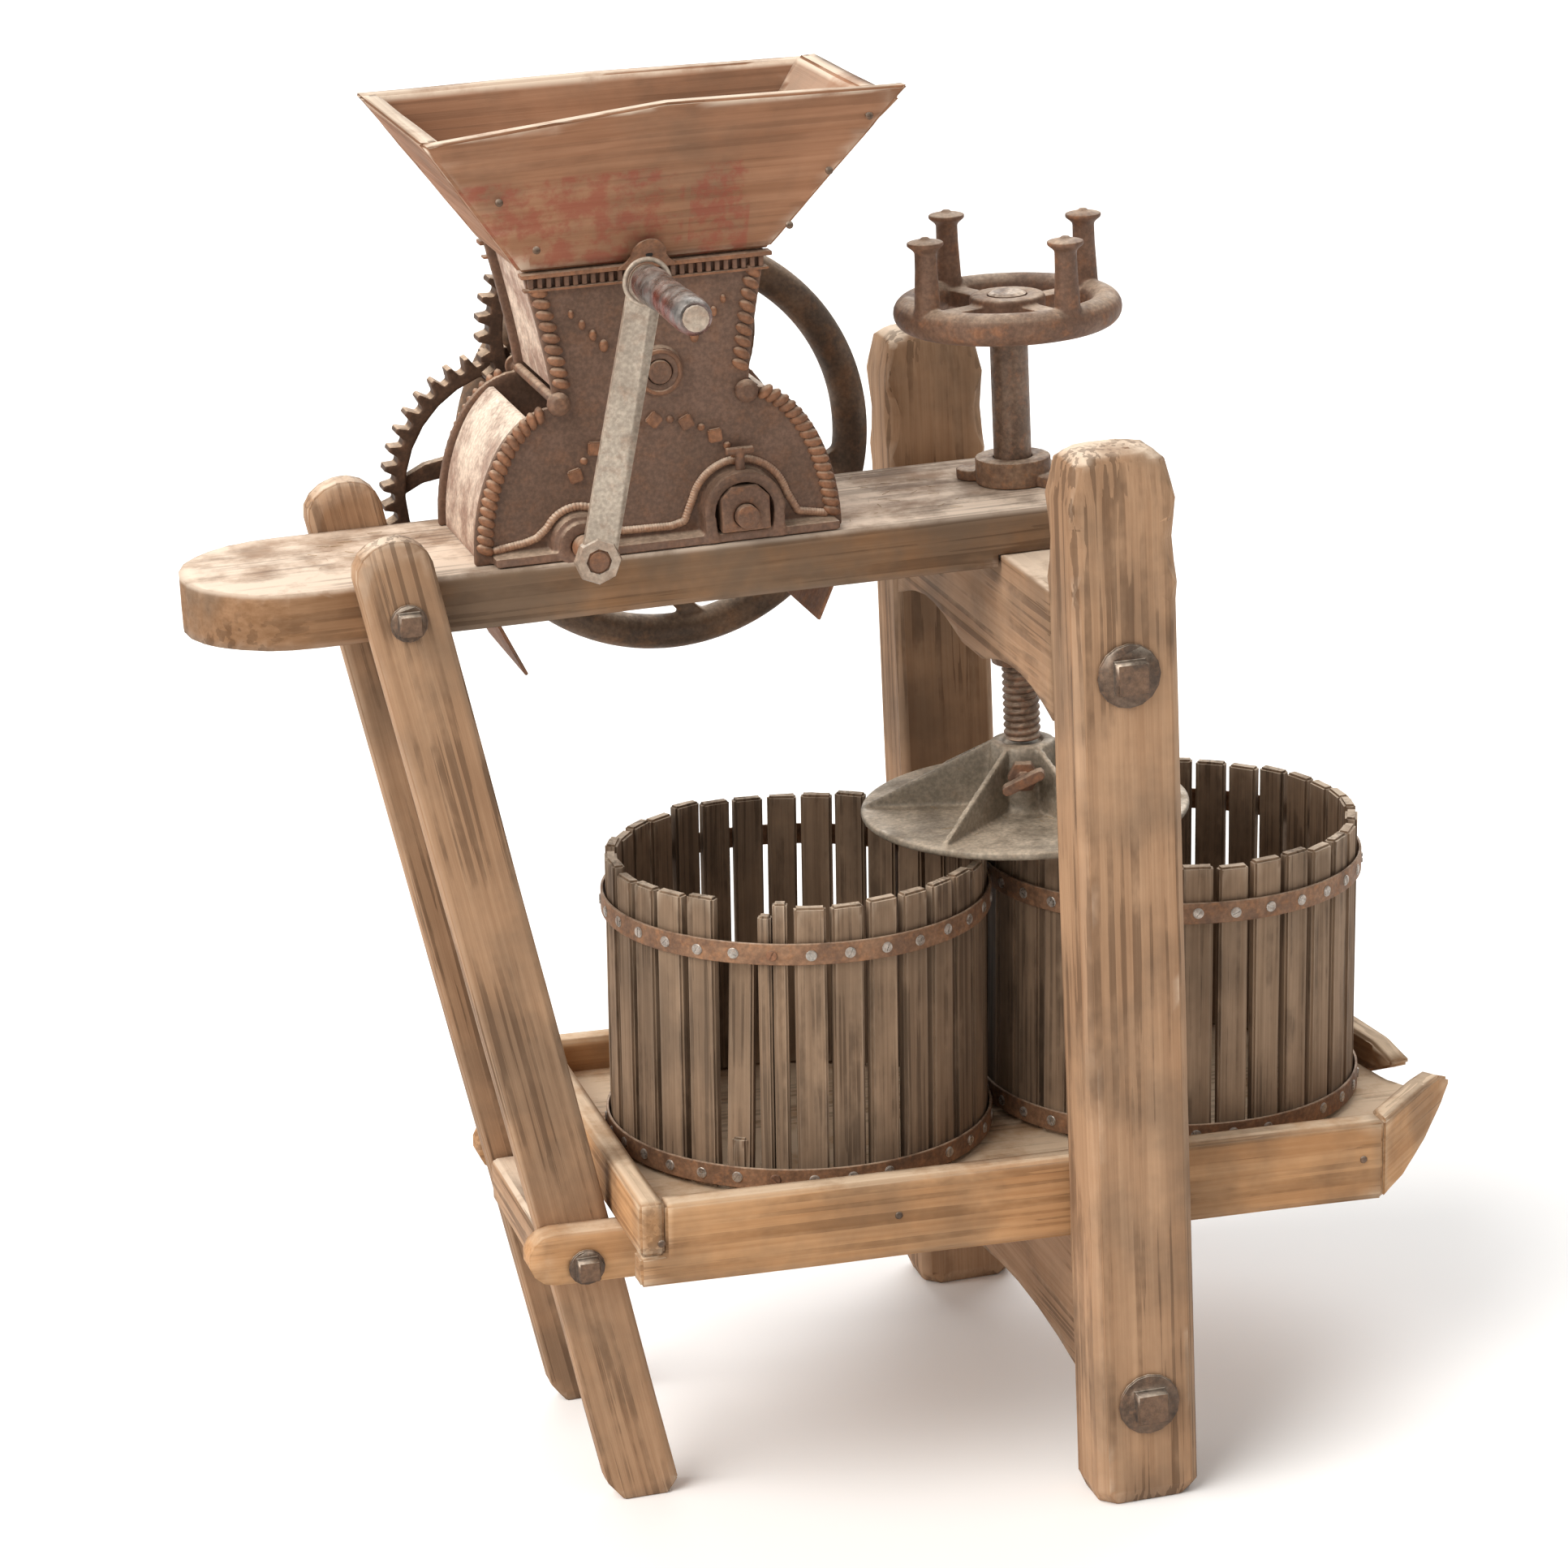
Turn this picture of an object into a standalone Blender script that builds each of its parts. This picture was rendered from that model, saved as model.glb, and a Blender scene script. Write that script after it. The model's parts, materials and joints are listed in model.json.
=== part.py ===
"""Double-tub apple cider press: hopper and geared mill, screw press, two slatted tubs.

Units are metres. +X runs along the plank towards the press posts, +Y points away from the
crank side, +Z is up, and the feet stand on z = 0.
"""
import math

import bmesh
import bpy
from mathutils import Vector

# ---------------------------------------------------------------- driving dimensions
GAP = 0.0003                      # clearance between touching pieces

# press frame
SCREW_X = 0.1935                  # screw axis, and the middle of both posts
POST_WIDTH = 0.095                # along X
POST_DEPTH = 0.071                # along Y
POST_OUTER_Y = 0.302              # outer face of each post
POST_CREASE_Z = 0.920             # where the domed top starts
POST_TOP_Z = 0.964
POST_BOLT_Z = {"upper": 0.770, "lower": 0.096}
CROSS_TOP_Z = 0.832
CROSS_FOOT_Z = 0.715              # underside of the crosshead at the posts
CROSS_ARCH_Z = 0.735              # top of its two arches
CROSS_BOSS_Z = 0.718              # underside of its middle
STRETCHER_TOP_Z = 0.2125
STRETCHER_ARCH_Z = 0.095
STRETCHER_FOOT_Z = 0.068
STRETCHER_THICKNESS = 0.046
SHANK_RADIUS = 0.0075             # of every frame bolt
WASHER_THICKNESS = 0.0035
HEAD_HEIGHT = 0.0115
POST_BOLT = (0.125, 0.0285, 0.014)      # length, washer radius, half width of the head
LEG_BOLT = (0.060, 0.0165, 0.0095)
RAIL_BOLT = (0.050, 0.0165, 0.0095)

# plank
PLANK_TOP_Z = 0.871
PLANK_THICKNESS = 0.050
PLANK_WIDTH = 0.200
PLANK_NOSE_X = -0.462             # centre of the rounded end
PLANK_END_X = 0.251
SLOT_X = (-0.272, -0.022)         # discharge opening under the mill
SLOT_HALF_WIDTH = 0.070
NOTCH_DEPTH = 0.011               # the plank is let over the crosshead

# slanted legs, rails and tray
LEG_WIDTH = 0.068
LEG_THICKNESS = 0.028
LEG_TOP_X = -0.403
LEG_TOP_Z = 0.920
LEG_LEAN = math.radians(10.6)
LEG_BOLT_Z = 0.842
RAIL_BOLT_Z = 0.245
RAIL_HEIGHT = 0.048
RAIL_THICKNESS = 0.028
RAIL_LEFT_X = {"front": -0.328, "back": -0.312}
TRAY_TILT = math.radians(1.9)     # the tray falls towards its spout
FLOOR_THICKNESS = 0.016
TRAY_INNER_Y = 0.2055
SIDE_THICKNESS = 0.025
SIDE_HEIGHT = 0.075
SIDE_SKIRT = 0.029                # how far the side boards hang below the floor's underside
SIDE_LEFT_X = -0.2445
SIDE_RIGHT_X = 0.449
BACK_SIDE_RIGHT_X = 0.506
END_THICKNESS = 0.023
SPOUT_THICKNESS = 0.022
SPOUT_SETBACK = 0.004
SPOUT_TIP_FRONT = (0.562, -0.112)
SPOUT_TIP_BACK = (0.547, -0.052)

# tubs
TUB_X = (-0.0356, 0.3237)
SLATS = 32
HOOP_RADIUS = 0.1775              # outside of the hoops
HOOP_THICKNESS = 0.0022
HOOP_WIDTH = 0.0195
SLAT_THICKNESS = 0.013
SLAT_FILL = 0.87                  # share of the pitch that a slat takes
TUB_HEIGHT = 0.273
TOP_HOOP_FROM_BOTTOM = 0.216      # lower edge of the top hoop
BOTTOM_HOOP_FROM_BOTTOM = 0.005

# mill casing
MILL_X = -0.154
CASE_TOP_Z = 1.1215
CASE_WAIST_Z = 1.003
CASE_TOP_HALF = 0.107
CASE_WAIST_HALF = 0.086
CASE_FOOT_HALF = 0.164
CHEEK_OUTER_Y = 0.080
CHEEK_THICKNESS = 0.008
SHELL_THICKNESS = 0.004
SHELL_INSET = 0.006               # the cheeks stand proud of the shells

# gear train: crank wheel -> feed roller pinion, feed roller wheel -> flywheel pinion
MODULE = 0.0056
CRANK_TEETH = 44
ROLLER_PINION_TEETH = 14
ROLLER_TEETH = 40
FLY_PINION_TEETH = 12
ADDENDUM = 0.80
DEDENDUM = 1.05
BACKLASH = 0.0007
PRESSURE_ANGLE = math.radians(20)
CRANK_AXIS = (-0.226, 0.883)
FLY_AXIS = (-0.082, 0.895)
ROLLER_WHEEL_Y = (0.113, 0.134)
CRANK_WHEEL_Y = (0.142, 0.163)
SHAFT_RADIUS = 0.0105
FLYWHEEL_Y = 0.193
FLYWHEEL_RADIUS = 0.196
FLYWHEEL_RIM = 0.0165
SPOKES = 5                        # of the flywheel and of the crank wheel
ROLLER_SPOKES = 4
FLY_SPOKE_TURN = math.radians(28.9)     # where the first spoke leaves the hub
FLY_SPOKE_SWEEP = math.radians(37.0)    # how far a spoke has swept on at the rim
CRANK_SPOKE_TURN = math.radians(7.4)
WHEEL_SPOKE_SWEEP = math.radians(25.0)

# crank
CRANK_RADIUS = 0.242
CRANK_LEAN = math.radians(13.4)
ARM_Y = (-0.1530, -0.1465)
ARM_WIDTH = 0.030
GRIP_RADIUS = 0.0165
GRIP_Y = (-0.312, -0.155)

# screw press
SCREW_RADIUS = 0.0172
PLATE_RADIUS = 0.151
PLATE_BOTTOM_Z = 0.5605
PLATE_THICKNESS = 0.008
HUB_TOP_Z = 0.6295
RIBS = 6
RIB_TURN = math.radians(-138)     # first rib
RIB_THICKNESS = 0.006
THUMB_TURN = math.radians(-108)   # the thumb screw stands midway between two ribs
THUMB_Z = 0.607
WING_LEAN = math.radians(25)
WHEEL_Z = 1.0287
WHEEL_RADIUS = 0.0874
WHEEL_TUBE = 0.0150
PEG_TOP_Z = 1.1070
PEG_TURN = math.radians(19)

# hopper
HOPPER_BOTTOM_Z = 1.1225
HOPPER_TOP_Z = 1.249
HOPPER_TOP_X = (-0.352, 0.066)
HOPPER_TOP_HALF_Y = 0.153
HOPPER_BOARD = 0.018

# ---------------------------------------------------------------- worked-out places
POST_INNER_Y = POST_OUTER_Y - POST_DEPTH
PLANK_BOTTOM_Z = PLANK_TOP_Z - PLANK_THICKNESS
HALF_PLANK = PLANK_WIDTH / 2
LEG_INNER_Y = HALF_PLANK + GAP
LEG_OUTER_Y = LEG_INNER_Y + LEG_THICKNESS
RAIL_OUTER_Y = LEG_OUTER_Y + GAP + RAIL_THICKNESS


def wheel_meeting_point(first, second, first_distance, second_distance):
    """Axis that lies at the two given distances, above the line through two other axes."""
    dx, dz = second[0] - first[0], second[1] - first[1]
    base = math.hypot(dx, dz)
    along = (base**2 + first_distance**2 - second_distance**2) / (2 * base)
    above = math.sqrt(first_distance**2 - along**2)
    ux, uz = dx / base, dz / base
    return (first[0] + along * ux - above * uz, first[1] + along * uz + above * ux)


CRANK_TO_ROLLER = MODULE * (CRANK_TEETH + ROLLER_PINION_TEETH) / 2
ROLLER_TO_FLY = MODULE * (ROLLER_TEETH + FLY_PINION_TEETH) / 2
ROLLER_AXIS = wheel_meeting_point(CRANK_AXIS, FLY_AXIS, CRANK_TO_ROLLER, ROLLER_TO_FLY)


# ---------------------------------------------------------------- materials
MATERIALS = {
    "frame_wood": ((0.42, 0.31, 0.21), 0.80, 0.0),
    "tray_wood": ((0.40, 0.24, 0.12), 0.80, 0.0),
    "hopper_wood": ((0.33, 0.22, 0.15), 0.80, 0.0),
    "slat_wood": ((0.20, 0.15, 0.11), 0.85, 0.0),
    "painted_iron": ((0.13, 0.075, 0.055), 0.65, 0.4),
    "rusty_iron": ((0.17, 0.085, 0.05), 0.75, 0.5),
    "plate_iron": ((0.30, 0.29, 0.25), 0.60, 0.6),
    "galvanised_steel": ((0.52, 0.50, 0.47), 0.45, 0.8),
    "grip_paint": ((0.05, 0.045, 0.045), 0.35, 0.2),
}


def material(name):
    """Principled material of the given kind, made once."""
    if name in bpy.data.materials:
        return bpy.data.materials[name]
    colour, roughness, metallic = MATERIALS[name]
    made = bpy.data.materials.new(name)
    made.use_nodes = True
    shader = made.node_tree.nodes["Principled BSDF"]
    shader.inputs["Base Color"].default_value = (*colour, 1.0)
    shader.inputs["Roughness"].default_value = roughness
    shader.inputs["Metallic"].default_value = metallic
    made.diffuse_color = (*colour, 1.0)
    return made


# ---------------------------------------------------------------- modelling helpers
def finish(name, bm, kind=None, parent=None, location=(0, 0, 0), rotation=(0, 0, 0), smooth=None):
    """Turn a bmesh into a named object; without a material kind it is a hidden tool shape."""
    bmesh.ops.recalc_face_normals(bm, faces=bm.faces[:])
    mesh = bpy.data.meshes.new(name)
    bm.to_mesh(mesh)
    bm.free()
    if smooth is not None:
        mesh.shade_smooth()
        mesh.set_sharp_from_angle(angle=math.radians(smooth))
    made = bpy.data.objects.new(name, mesh)
    bpy.context.scene.collection.objects.link(made)
    made.parent = parent
    made.location = location
    made.rotation_euler = rotation
    if kind:
        mesh.materials.append(material(kind))
    else:
        made.hide_render = True
        made.display_type = "WIRE"
    return made


def combine(target, tool, operation):
    """Add a Boolean modifier that applies the hidden tool shape to the target."""
    modifier = target.modifiers.new(operation.lower(), "BOOLEAN")
    modifier.operation = operation
    modifier.solver = "EXACT"
    modifier.object = tool
    return target


def at(axis, a, b, along):
    """Point whose position along the named axis is given, and a, b on the other two."""
    return {"X": (along, a, b), "Y": (a, along, b), "Z": (a, b, along)}[axis]


def prism(outline, axis, start, end):
    """Closed prism from an outline of (a, b) points, extruded along an axis."""
    bm = bmesh.new()
    low = [bm.verts.new(at(axis, a, b, start)) for a, b in outline]
    high = [bm.verts.new(at(axis, a, b, end)) for a, b in outline]
    bm.faces.new(low)
    bm.faces.new(high[::-1])
    for i in range(len(outline)):
        j = (i + 1) % len(outline)
        bm.faces.new((low[i], low[j], high[j], high[i]))
    return bm


def block(x, y, z):
    """Box between two values on each axis."""
    return prism([(x[0], y[0]), (x[1], y[0]), (x[1], y[1]), (x[0], y[1])], "Z", z[0], z[1])


def bevel(bm, width, segments=1):
    """Round all edges of a simple solid."""
    bmesh.ops.bevel(bm, geom=bm.edges[:], offset=width, segments=segments, affect="EDGES")
    return bm


def turned(profile, segments, axis="Z", centre=(0, 0, 0), ring=False):
    """Solid of revolution from (radius, along) points; a ring's profile closes on itself."""
    bm = bmesh.new()
    rows = []
    for radius, along in profile:
        if radius == 0:
            rows.append([bm.verts.new(Vector(centre) + Vector(at(axis, 0, 0, along)))])
            continue
        row = []
        for k in range(segments):
            angle = math.tau * k / segments
            spot = at(axis, radius * math.cos(angle), radius * math.sin(angle), along)
            row.append(bm.verts.new(Vector(centre) + Vector(spot)))
        rows.append(row)
    pairs = list(zip(rows, rows[1:]))
    if ring:
        pairs.append((rows[-1], rows[0]))
    for lower, upper in pairs:
        for k in range(segments):
            n = (k + 1) % segments
            corners = [lower[k % len(lower)], lower[n % len(lower)],
                       upper[n % len(upper)], upper[k % len(upper)]]
            unique = list(dict.fromkeys(corners))
            if len(unique) > 2:
                bm.faces.new(unique)
    return bm


def rod(radius, axis, start, end, centre, segments=16, chamfer=0.0):
    """Plain round bar along an axis; centre gives its place on the other two axes."""
    profile = [(0, start), (radius - chamfer, start)]
    if chamfer:
        profile += [(radius, start + chamfer), (radius, end - chamfer)]
    profile += [(radius - chamfer, end), (0, end)]
    return turned(profile, segments, axis, at(axis, centre[0], centre[1], 0))


def tube(outer, inner, axis, start, end, centre, segments=16):
    """Hollow round bar along an axis."""
    profile = [(inner, start), (outer, start), (outer, end), (inner, end)]
    return turned(profile, segments, axis, at(axis, centre[0], centre[1], 0), ring=True)


def bore(target, radius, axis, start, end, centre, segments=16):
    """Cut a round hole through the target."""
    tool = finish(target.name + "_bore", rod(radius, axis, start, end, centre, segments),
                  parent=target.parent)
    return combine(target, tool, "DIFFERENCE")


def arc(centre, radius, start, end, steps):
    """Points on a circular arc, in degrees."""
    points = []
    for k in range(steps + 1):
        angle = math.radians(start + (end - start) * k / steps)
        points.append((centre[0] + radius * math.cos(angle), centre[1] + radius * math.sin(angle)))
    return points


def ring_loft(rings):
    """Solid through stacked rings with equal point counts, capped at both ends."""
    bm = bmesh.new()
    rows = [[bm.verts.new(p) for p in ring] for ring in rings]
    bm.faces.new(rows[0])
    bm.faces.new(rows[-1][::-1])
    for lower, upper in zip(rows, rows[1:]):
        for k in range(len(lower)):
            n = (k + 1) % len(lower)
            bm.faces.new((lower[k], lower[n], upper[n], upper[k]))
    return bm


# ---------------------------------------------------------------- press frame
def chamfered_rectangle(half_x, half_y, chamfer, centre, z):
    """Rectangle with cut corners, as eight points at height z."""
    signs = [(1, 1), (-1, 1), (-1, -1), (1, -1)]
    points = []
    for k, (sx, sy) in enumerate(signs):
        on_side = (sx * half_x, sy * (half_y - chamfer))
        on_end = (sx * (half_x - chamfer), sy * half_y)
        for px, py in ((on_side, on_end) if k % 2 == 0 else (on_end, on_side)):
            points.append((centre[0] + px, centre[1] + py, z))
    return points


def make_post(name, side):
    """Square post with scalloped corners under a pillow-shaped top."""
    middle = (SCREW_X, side * (POST_OUTER_Y - POST_DEPTH / 2))
    half_x, half_y = POST_WIDTH / 2, POST_DEPTH / 2
    rings = []
    # z, corner cut: worn foot, flat chamfer, scallop below the crease
    for z, cut in ((0.0, 0.014), (0.012, 0.008), (0.830, 0.008), (0.846, 0.003), (0.862, 0.010),
                   (0.884, 0.014), (0.904, 0.008), (POST_CREASE_Z, 0.002)):
        worn = 0.004 if z == 0 else 0.0
        rings.append(chamfered_rectangle(half_x - worn, half_y - worn, cut, middle, z))
    rise = POST_TOP_Z - POST_CREASE_Z
    for share in (0.35, 0.62, 0.85):
        z = POST_CREASE_Z + rise * math.sqrt(1 - (1 - share)**2)
        narrowing = 1 - 0.62 * share**1.6
        rings.append(chamfered_rectangle(half_x * narrowing, half_y * narrowing,
                                         0.004 + 0.01 * share, middle, z))
    return finish(name, ring_loft(rings), "frame_wood")


def make_crosshead():
    """Beam between the posts under the plank, with two arches in its lower edge."""
    y_end = POST_INNER_Y - GAP
    half = POST_WIDTH / 2 - 0.002
    lower = []
    steps = 16
    for k in range(steps + 1):
        y = -y_end + 2 * y_end * k / steps
        share = abs(y) / y_end
        arch = math.sin(math.pi * min(1.0, max(0.0, (share - 0.12) / 0.88)))
        base = CROSS_BOSS_Z + (CROSS_FOOT_Z - CROSS_BOSS_Z) * share
        lower.append((y, base + (CROSS_ARCH_Z - base) * arch))
    top = CROSS_TOP_Z - GAP
    outline = lower + [(y_end, top), (-y_end, top)]
    beam = finish("crosshead", prism(outline, "X", SCREW_X - half, SCREW_X + half), "frame_wood")
    return bore(beam, SCREW_RADIUS + 0.0015, "Z", 0.6, 0.9, (SCREW_X, 0), 20)


def make_stretcher():
    """Deep board between the posts that carries the rails."""
    y_end = POST_INNER_Y - GAP
    lower = []
    for k in range(9):
        share = k / 8
        y = -y_end + 2 * y_end * share
        z = STRETCHER_FOOT_Z + (STRETCHER_ARCH_Z - STRETCHER_FOOT_Z) * math.sin(math.pi * share)
        lower.append((y, z))
    outline = lower + [(y_end, STRETCHER_TOP_Z), (-y_end, STRETCHER_TOP_Z)]
    half = STRETCHER_THICKNESS / 2
    return finish("lower_stretcher", prism(outline, "X", SCREW_X - half, SCREW_X + half),
                  "frame_wood")


def make_plank():
    """Top plank with a rounded end, the mill's discharge slot and the notch for the crosshead."""
    nose = arc((PLANK_NOSE_X, 0), HALF_PLANK, 90, 270, 14)
    outline = nose + [(PLANK_END_X, -HALF_PLANK), (PLANK_END_X, HALF_PLANK)]
    plank = finish("plank", prism(outline, "Z", PLANK_BOTTOM_Z, PLANK_TOP_Z), "frame_wood")
    slot = finish("plank_slot", block(SLOT_X, (-SLOT_HALF_WIDTH, SLOT_HALF_WIDTH), (0.80, 0.90)))
    combine(plank, slot, "DIFFERENCE")
    edge = SCREW_X - POST_WIDTH / 2
    notch = finish("plank_notch", block((edge, PLANK_END_X + 0.02), (-0.15, 0.15),
                                        (0.80, PLANK_BOTTOM_Z + NOTCH_DEPTH)))
    combine(plank, notch, "DIFFERENCE")
    return bore(plank, SCREW_RADIUS + 0.0015, "Z", 0.8, 0.9, (SCREW_X, 0), 20)


def make_bolt(name, x, z, side, face, sizes):
    """Square-headed bolt with its washer, through the wood from the outer face inwards."""
    length, washer, head = sizes
    seat = face + GAP
    top = seat + WASHER_THICKNESS
    profile = [(0, face - length), (SHANK_RADIUS, face - length), (SHANK_RADIUS, seat),
               (washer, seat), (washer, top), (0, top)]
    bolt = finish(name, turned([(r, side * a) for r, a in profile], 16, "Y", (x, 0, z)), "rusty_iron")
    y_pair = sorted((side * (top - 0.001), side * (top + HEAD_HEIGHT)))
    square = finish(name + "_head", block((x - head, x + head), y_pair, (z - head, z + head)))
    return combine(bolt, square, "UNION")


def bolt_hole(target, x, z):
    """Clearance hole along Y for a bolt's shank."""
    tool = finish(target.name + "_hole", rod(SHANK_RADIUS + GAP, "Y", -0.4, 0.4, (x, z), 16))
    return combine(target, tool, "DIFFERENCE")


# ---------------------------------------------------------------- legs, rails and tray
def leg_point(across, z_from_top):
    """Point in the leg's plane: across its width, and down its axis from the top."""
    sine, cosine = math.sin(LEG_LEAN), math.cos(LEG_LEAN)
    return (LEG_TOP_X + z_from_top * sine + across * cosine,
            LEG_TOP_Z - z_from_top * cosine + across * sine)


def leg_axis_x(z):
    """X of the leg's middle line at height z."""
    return LEG_TOP_X + (LEG_TOP_Z - z) * math.tan(LEG_LEAN)


def make_leg(name, side):
    """Slanted leg with a rounded top and a level foot."""
    half = LEG_WIDTH / 2
    top = []
    for k in range(9):
        angle = math.pi * k / 8
        top.append(leg_point(half * math.cos(angle), half - 0.8 * half * math.sin(angle)))
    foot_x = leg_axis_x(0)
    reach = half / math.cos(LEG_LEAN)
    foot = [(foot_x - reach + 0.002, 0.018), (foot_x - reach + 0.016, 0.0),
            (foot_x + reach - 0.012, 0.0), (foot_x + reach - 0.002, 0.014)]
    y_pair = sorted((side * LEG_INNER_Y, side * LEG_OUTER_Y))
    return finish(name, prism(top + foot, "Y", *y_pair), "frame_wood")


def make_rail(name, side, left_x, tray):
    """Rail outside the legs, under the tray floor, with a rounded left end."""
    radius = RAIL_HEIGHT / 2
    left, right = left_x + radius - SCREW_X, 0.030
    nose = arc((left, -radius), radius, 90, 270, 7)
    outline = nose + [(right, -RAIL_HEIGHT), (right, 0.0)]
    inner = LEG_OUTER_Y + GAP
    return finish(name, prism(outline, "Y", *sorted((side * inner, side * (inner + RAIL_THICKNESS)))),
                  "tray_wood", tray)


def offset_line(start, end, distance):
    """Line moved sideways to the left of its direction by a distance."""
    along = (Vector(end) - Vector(start)).normalized()
    shift = Vector((-along.y, along.x)) * distance
    return Vector(start) + shift, Vector(end) + shift


def where(line, axis, value):
    """Point of a line at which its coordinate 0 or 1 has the given value."""
    start, end = line
    share = (value - start[axis]) / (end[axis] - start[axis])
    return start + (end - start) * share


def make_spout_board(name, outer, inner, cut_axis, cut_value, tray):
    """Board to the spout's mouth: cut square to the side board, its tip rounded away."""
    bottom, top = GAP - SIDE_SKIRT, GAP - SIDE_SKIRT + SIDE_HEIGHT
    starts = where(outer, cut_axis, cut_value), where(inner, cut_axis, cut_value)
    ends = outer[1], inner[1]
    rings = []
    for share, low, high in ((0.0, 0.0, 0.0), (0.30, 0.004, 0.0), (0.62, 0.020, 0.0),
                             (0.86, 0.040, 0.003), (1.0, 0.056, 0.012)):
        spots = [a + (b - a) * share for a, b in zip(starts, ends)]
        ring = [(spots[0].x, spots[0].y, bottom + low), (spots[0].x, spots[0].y, top - high),
                (spots[1].x, spots[1].y, top - high), (spots[1].x, spots[1].y, bottom + low)]
        rings.append(ring)
    return finish(name, ring_loft(rings), "tray_wood", tray)


def make_tray(tray):
    """Floor, side boards, end board and the two spout boards; x is measured from the screw."""
    left, right = SIDE_LEFT_X - SCREW_X, SIDE_RIGHT_X - SCREW_X
    back_right = BACK_SIDE_RIGHT_X - SCREW_X
    bottom = GAP - SIDE_SKIRT
    inner, outer = TRAY_INNER_Y, TRAY_INNER_Y + SIDE_THICKNESS - GAP
    floor_left = left + END_THICKNESS + GAP
    for name, side, end in (("tray_side_front", -1, right), ("tray_side_back", 1, back_right)):
        outline = [(left, bottom), (end, bottom), (end, bottom + SIDE_HEIGHT),
                   (floor_left, bottom + SIDE_HEIGHT), (floor_left, -GAP), (left, -GAP)]
        finish(name, prism(outline, "Y", *sorted((side * inner, side * outer))), "tray_wood", tray)
    finish("tray_end", block((left, left + END_THICKNESS), (-outer, outer),
                             (GAP, bottom + SIDE_HEIGHT + 0.004)), "tray_wood", tray)

    # the front spout board meets its side board's end, the back one its side board's inner face
    tip_front = (SPOUT_TIP_FRONT[0] - SCREW_X, SPOUT_TIP_FRONT[1])
    tip_back = (SPOUT_TIP_BACK[0] - SCREW_X, SPOUT_TIP_BACK[1])
    front_outer = offset_line((right + GAP, -outer), tip_front, 0)
    front_inner = offset_line(*front_outer, SPOUT_THICKNESS)
    back_outer = offset_line((back_right - SPOUT_SETBACK, inner - GAP), tip_back, 0)
    back_inner = offset_line(*back_outer, -SPOUT_THICKNESS)
    make_spout_board("spout_board_front", front_outer, front_inner, 0, right + GAP, tray)
    make_spout_board("spout_board_back", back_outer, back_inner, 1, inner - GAP, tray)

    # the floor fits inside the boards and runs out to the mouth of the spout
    edge = inner - GAP
    front_edge = offset_line(*front_inner, GAP)
    back_edge = offset_line(*back_inner, -GAP)
    outline = [(floor_left, -edge), (right, -edge), where(front_edge, 0, right), front_edge[1],
               back_edge[1], where(back_edge, 1, edge), (floor_left, edge)]
    finish("tray_floor", prism([tuple(p) for p in outline], "Z", GAP, GAP + FLOOR_THICKNESS),
           "tray_wood", tray)


def make_cross_bar():
    """Bar between the two legs that carries the rails' left ends."""
    x = leg_axis_x(0.24) - 0.004
    y = HALF_PLANK
    bm = bevel(block((x - 0.028, x + 0.022), (-y, y), (0.214, 0.258)), 0.004)
    return finish("cross_bar", bm, "frame_wood")


# ---------------------------------------------------------------- tubs
def make_slat_ring(name, x, tray):
    """Ring of slats, joined behind each hoop by a filler between neighbours."""
    outer = HOOP_RADIUS - HOOP_THICKNESS - 3 * GAP
    inner = outer - SLAT_THICKNESS
    base = GAP + FLOOR_THICKNESS + GAP
    inset = 0.002
    levels = [0.0, BOTTOM_HOOP_FROM_BOTTOM + inset, BOTTOM_HOOP_FROM_BOTTOM + HOOP_WIDTH - inset,
              TOP_HOOP_FROM_BOTTOM + inset, TOP_HOOP_FROM_BOTTOM + HOOP_WIDTH - inset, TUB_HEIGHT]
    pitch = math.tau / SLATS
    half = pitch * SLAT_FILL / 2
    bm = bmesh.new()

    def column(angle, radius):
        """Points up one corner of a slat."""
        return [bm.verts.new((x + radius * math.cos(angle), radius * math.sin(angle), base + z))
                for z in levels]

    corners = []
    for k in range(SLATS):
        for angle in (pitch * k - half, pitch * k + half):
            corners.append((column(angle, outer), column(angle, inner)))
    for k, (face, back) in enumerate(corners):
        next_face, next_back = corners[(k + 1) % len(corners)]
        is_slat = k % 2 == 0
        for i in range(5):
            if is_slat or i in (1, 3):
                bm.faces.new((face[i], next_face[i], next_face[i + 1], face[i + 1]))
                bm.faces.new((next_back[i], back[i], back[i + 1], next_back[i + 1]))
            if i not in (1, 3):
                bm.faces.new((face[i], back[i], back[i + 1], face[i + 1]))
        for i in (0, 5) if is_slat else (1, 2, 3, 4):
            bm.faces.new((face[i], next_face[i], next_back[i], back[i]))
    return finish(name, bm, "slat_wood", tray)


def make_hoop(name, x, from_bottom, tray):
    """Flat iron hoop around a tub."""
    base = GAP + FLOOR_THICKNESS + GAP + from_bottom
    bm = tube(HOOP_RADIUS, HOOP_RADIUS - HOOP_THICKNESS, "Z", base, base + HOOP_WIDTH, (x, 0), 40)
    return finish(name, bm, "rusty_iron", tray, smooth=30)


# ---------------------------------------------------------------- mill casing
def case_half_width(z):
    """Half width of the casing outline: a narrowing throat over a rounded drum."""
    if z >= CASE_WAIST_Z:
        share = (z - CASE_WAIST_Z) / (CASE_TOP_Z - CASE_WAIST_Z)
        return CASE_WAIST_HALF + (CASE_TOP_HALF - CASE_WAIST_HALF) * share**1.3
    share = (z - PLANK_TOP_Z) / (CASE_WAIST_Z - PLANK_TOP_Z)
    return CASE_WAIST_HALF + (CASE_FOOT_HALF - CASE_WAIST_HALF) * math.sqrt(1 - share**2)


def case_levels(bottom, top, steps):
    """Heights for an outline, closer together where the drum turns in to the waist."""
    return [bottom + (top - bottom) * math.sin(math.pi / 2 * k / steps) for k in range(steps + 1)]


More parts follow.
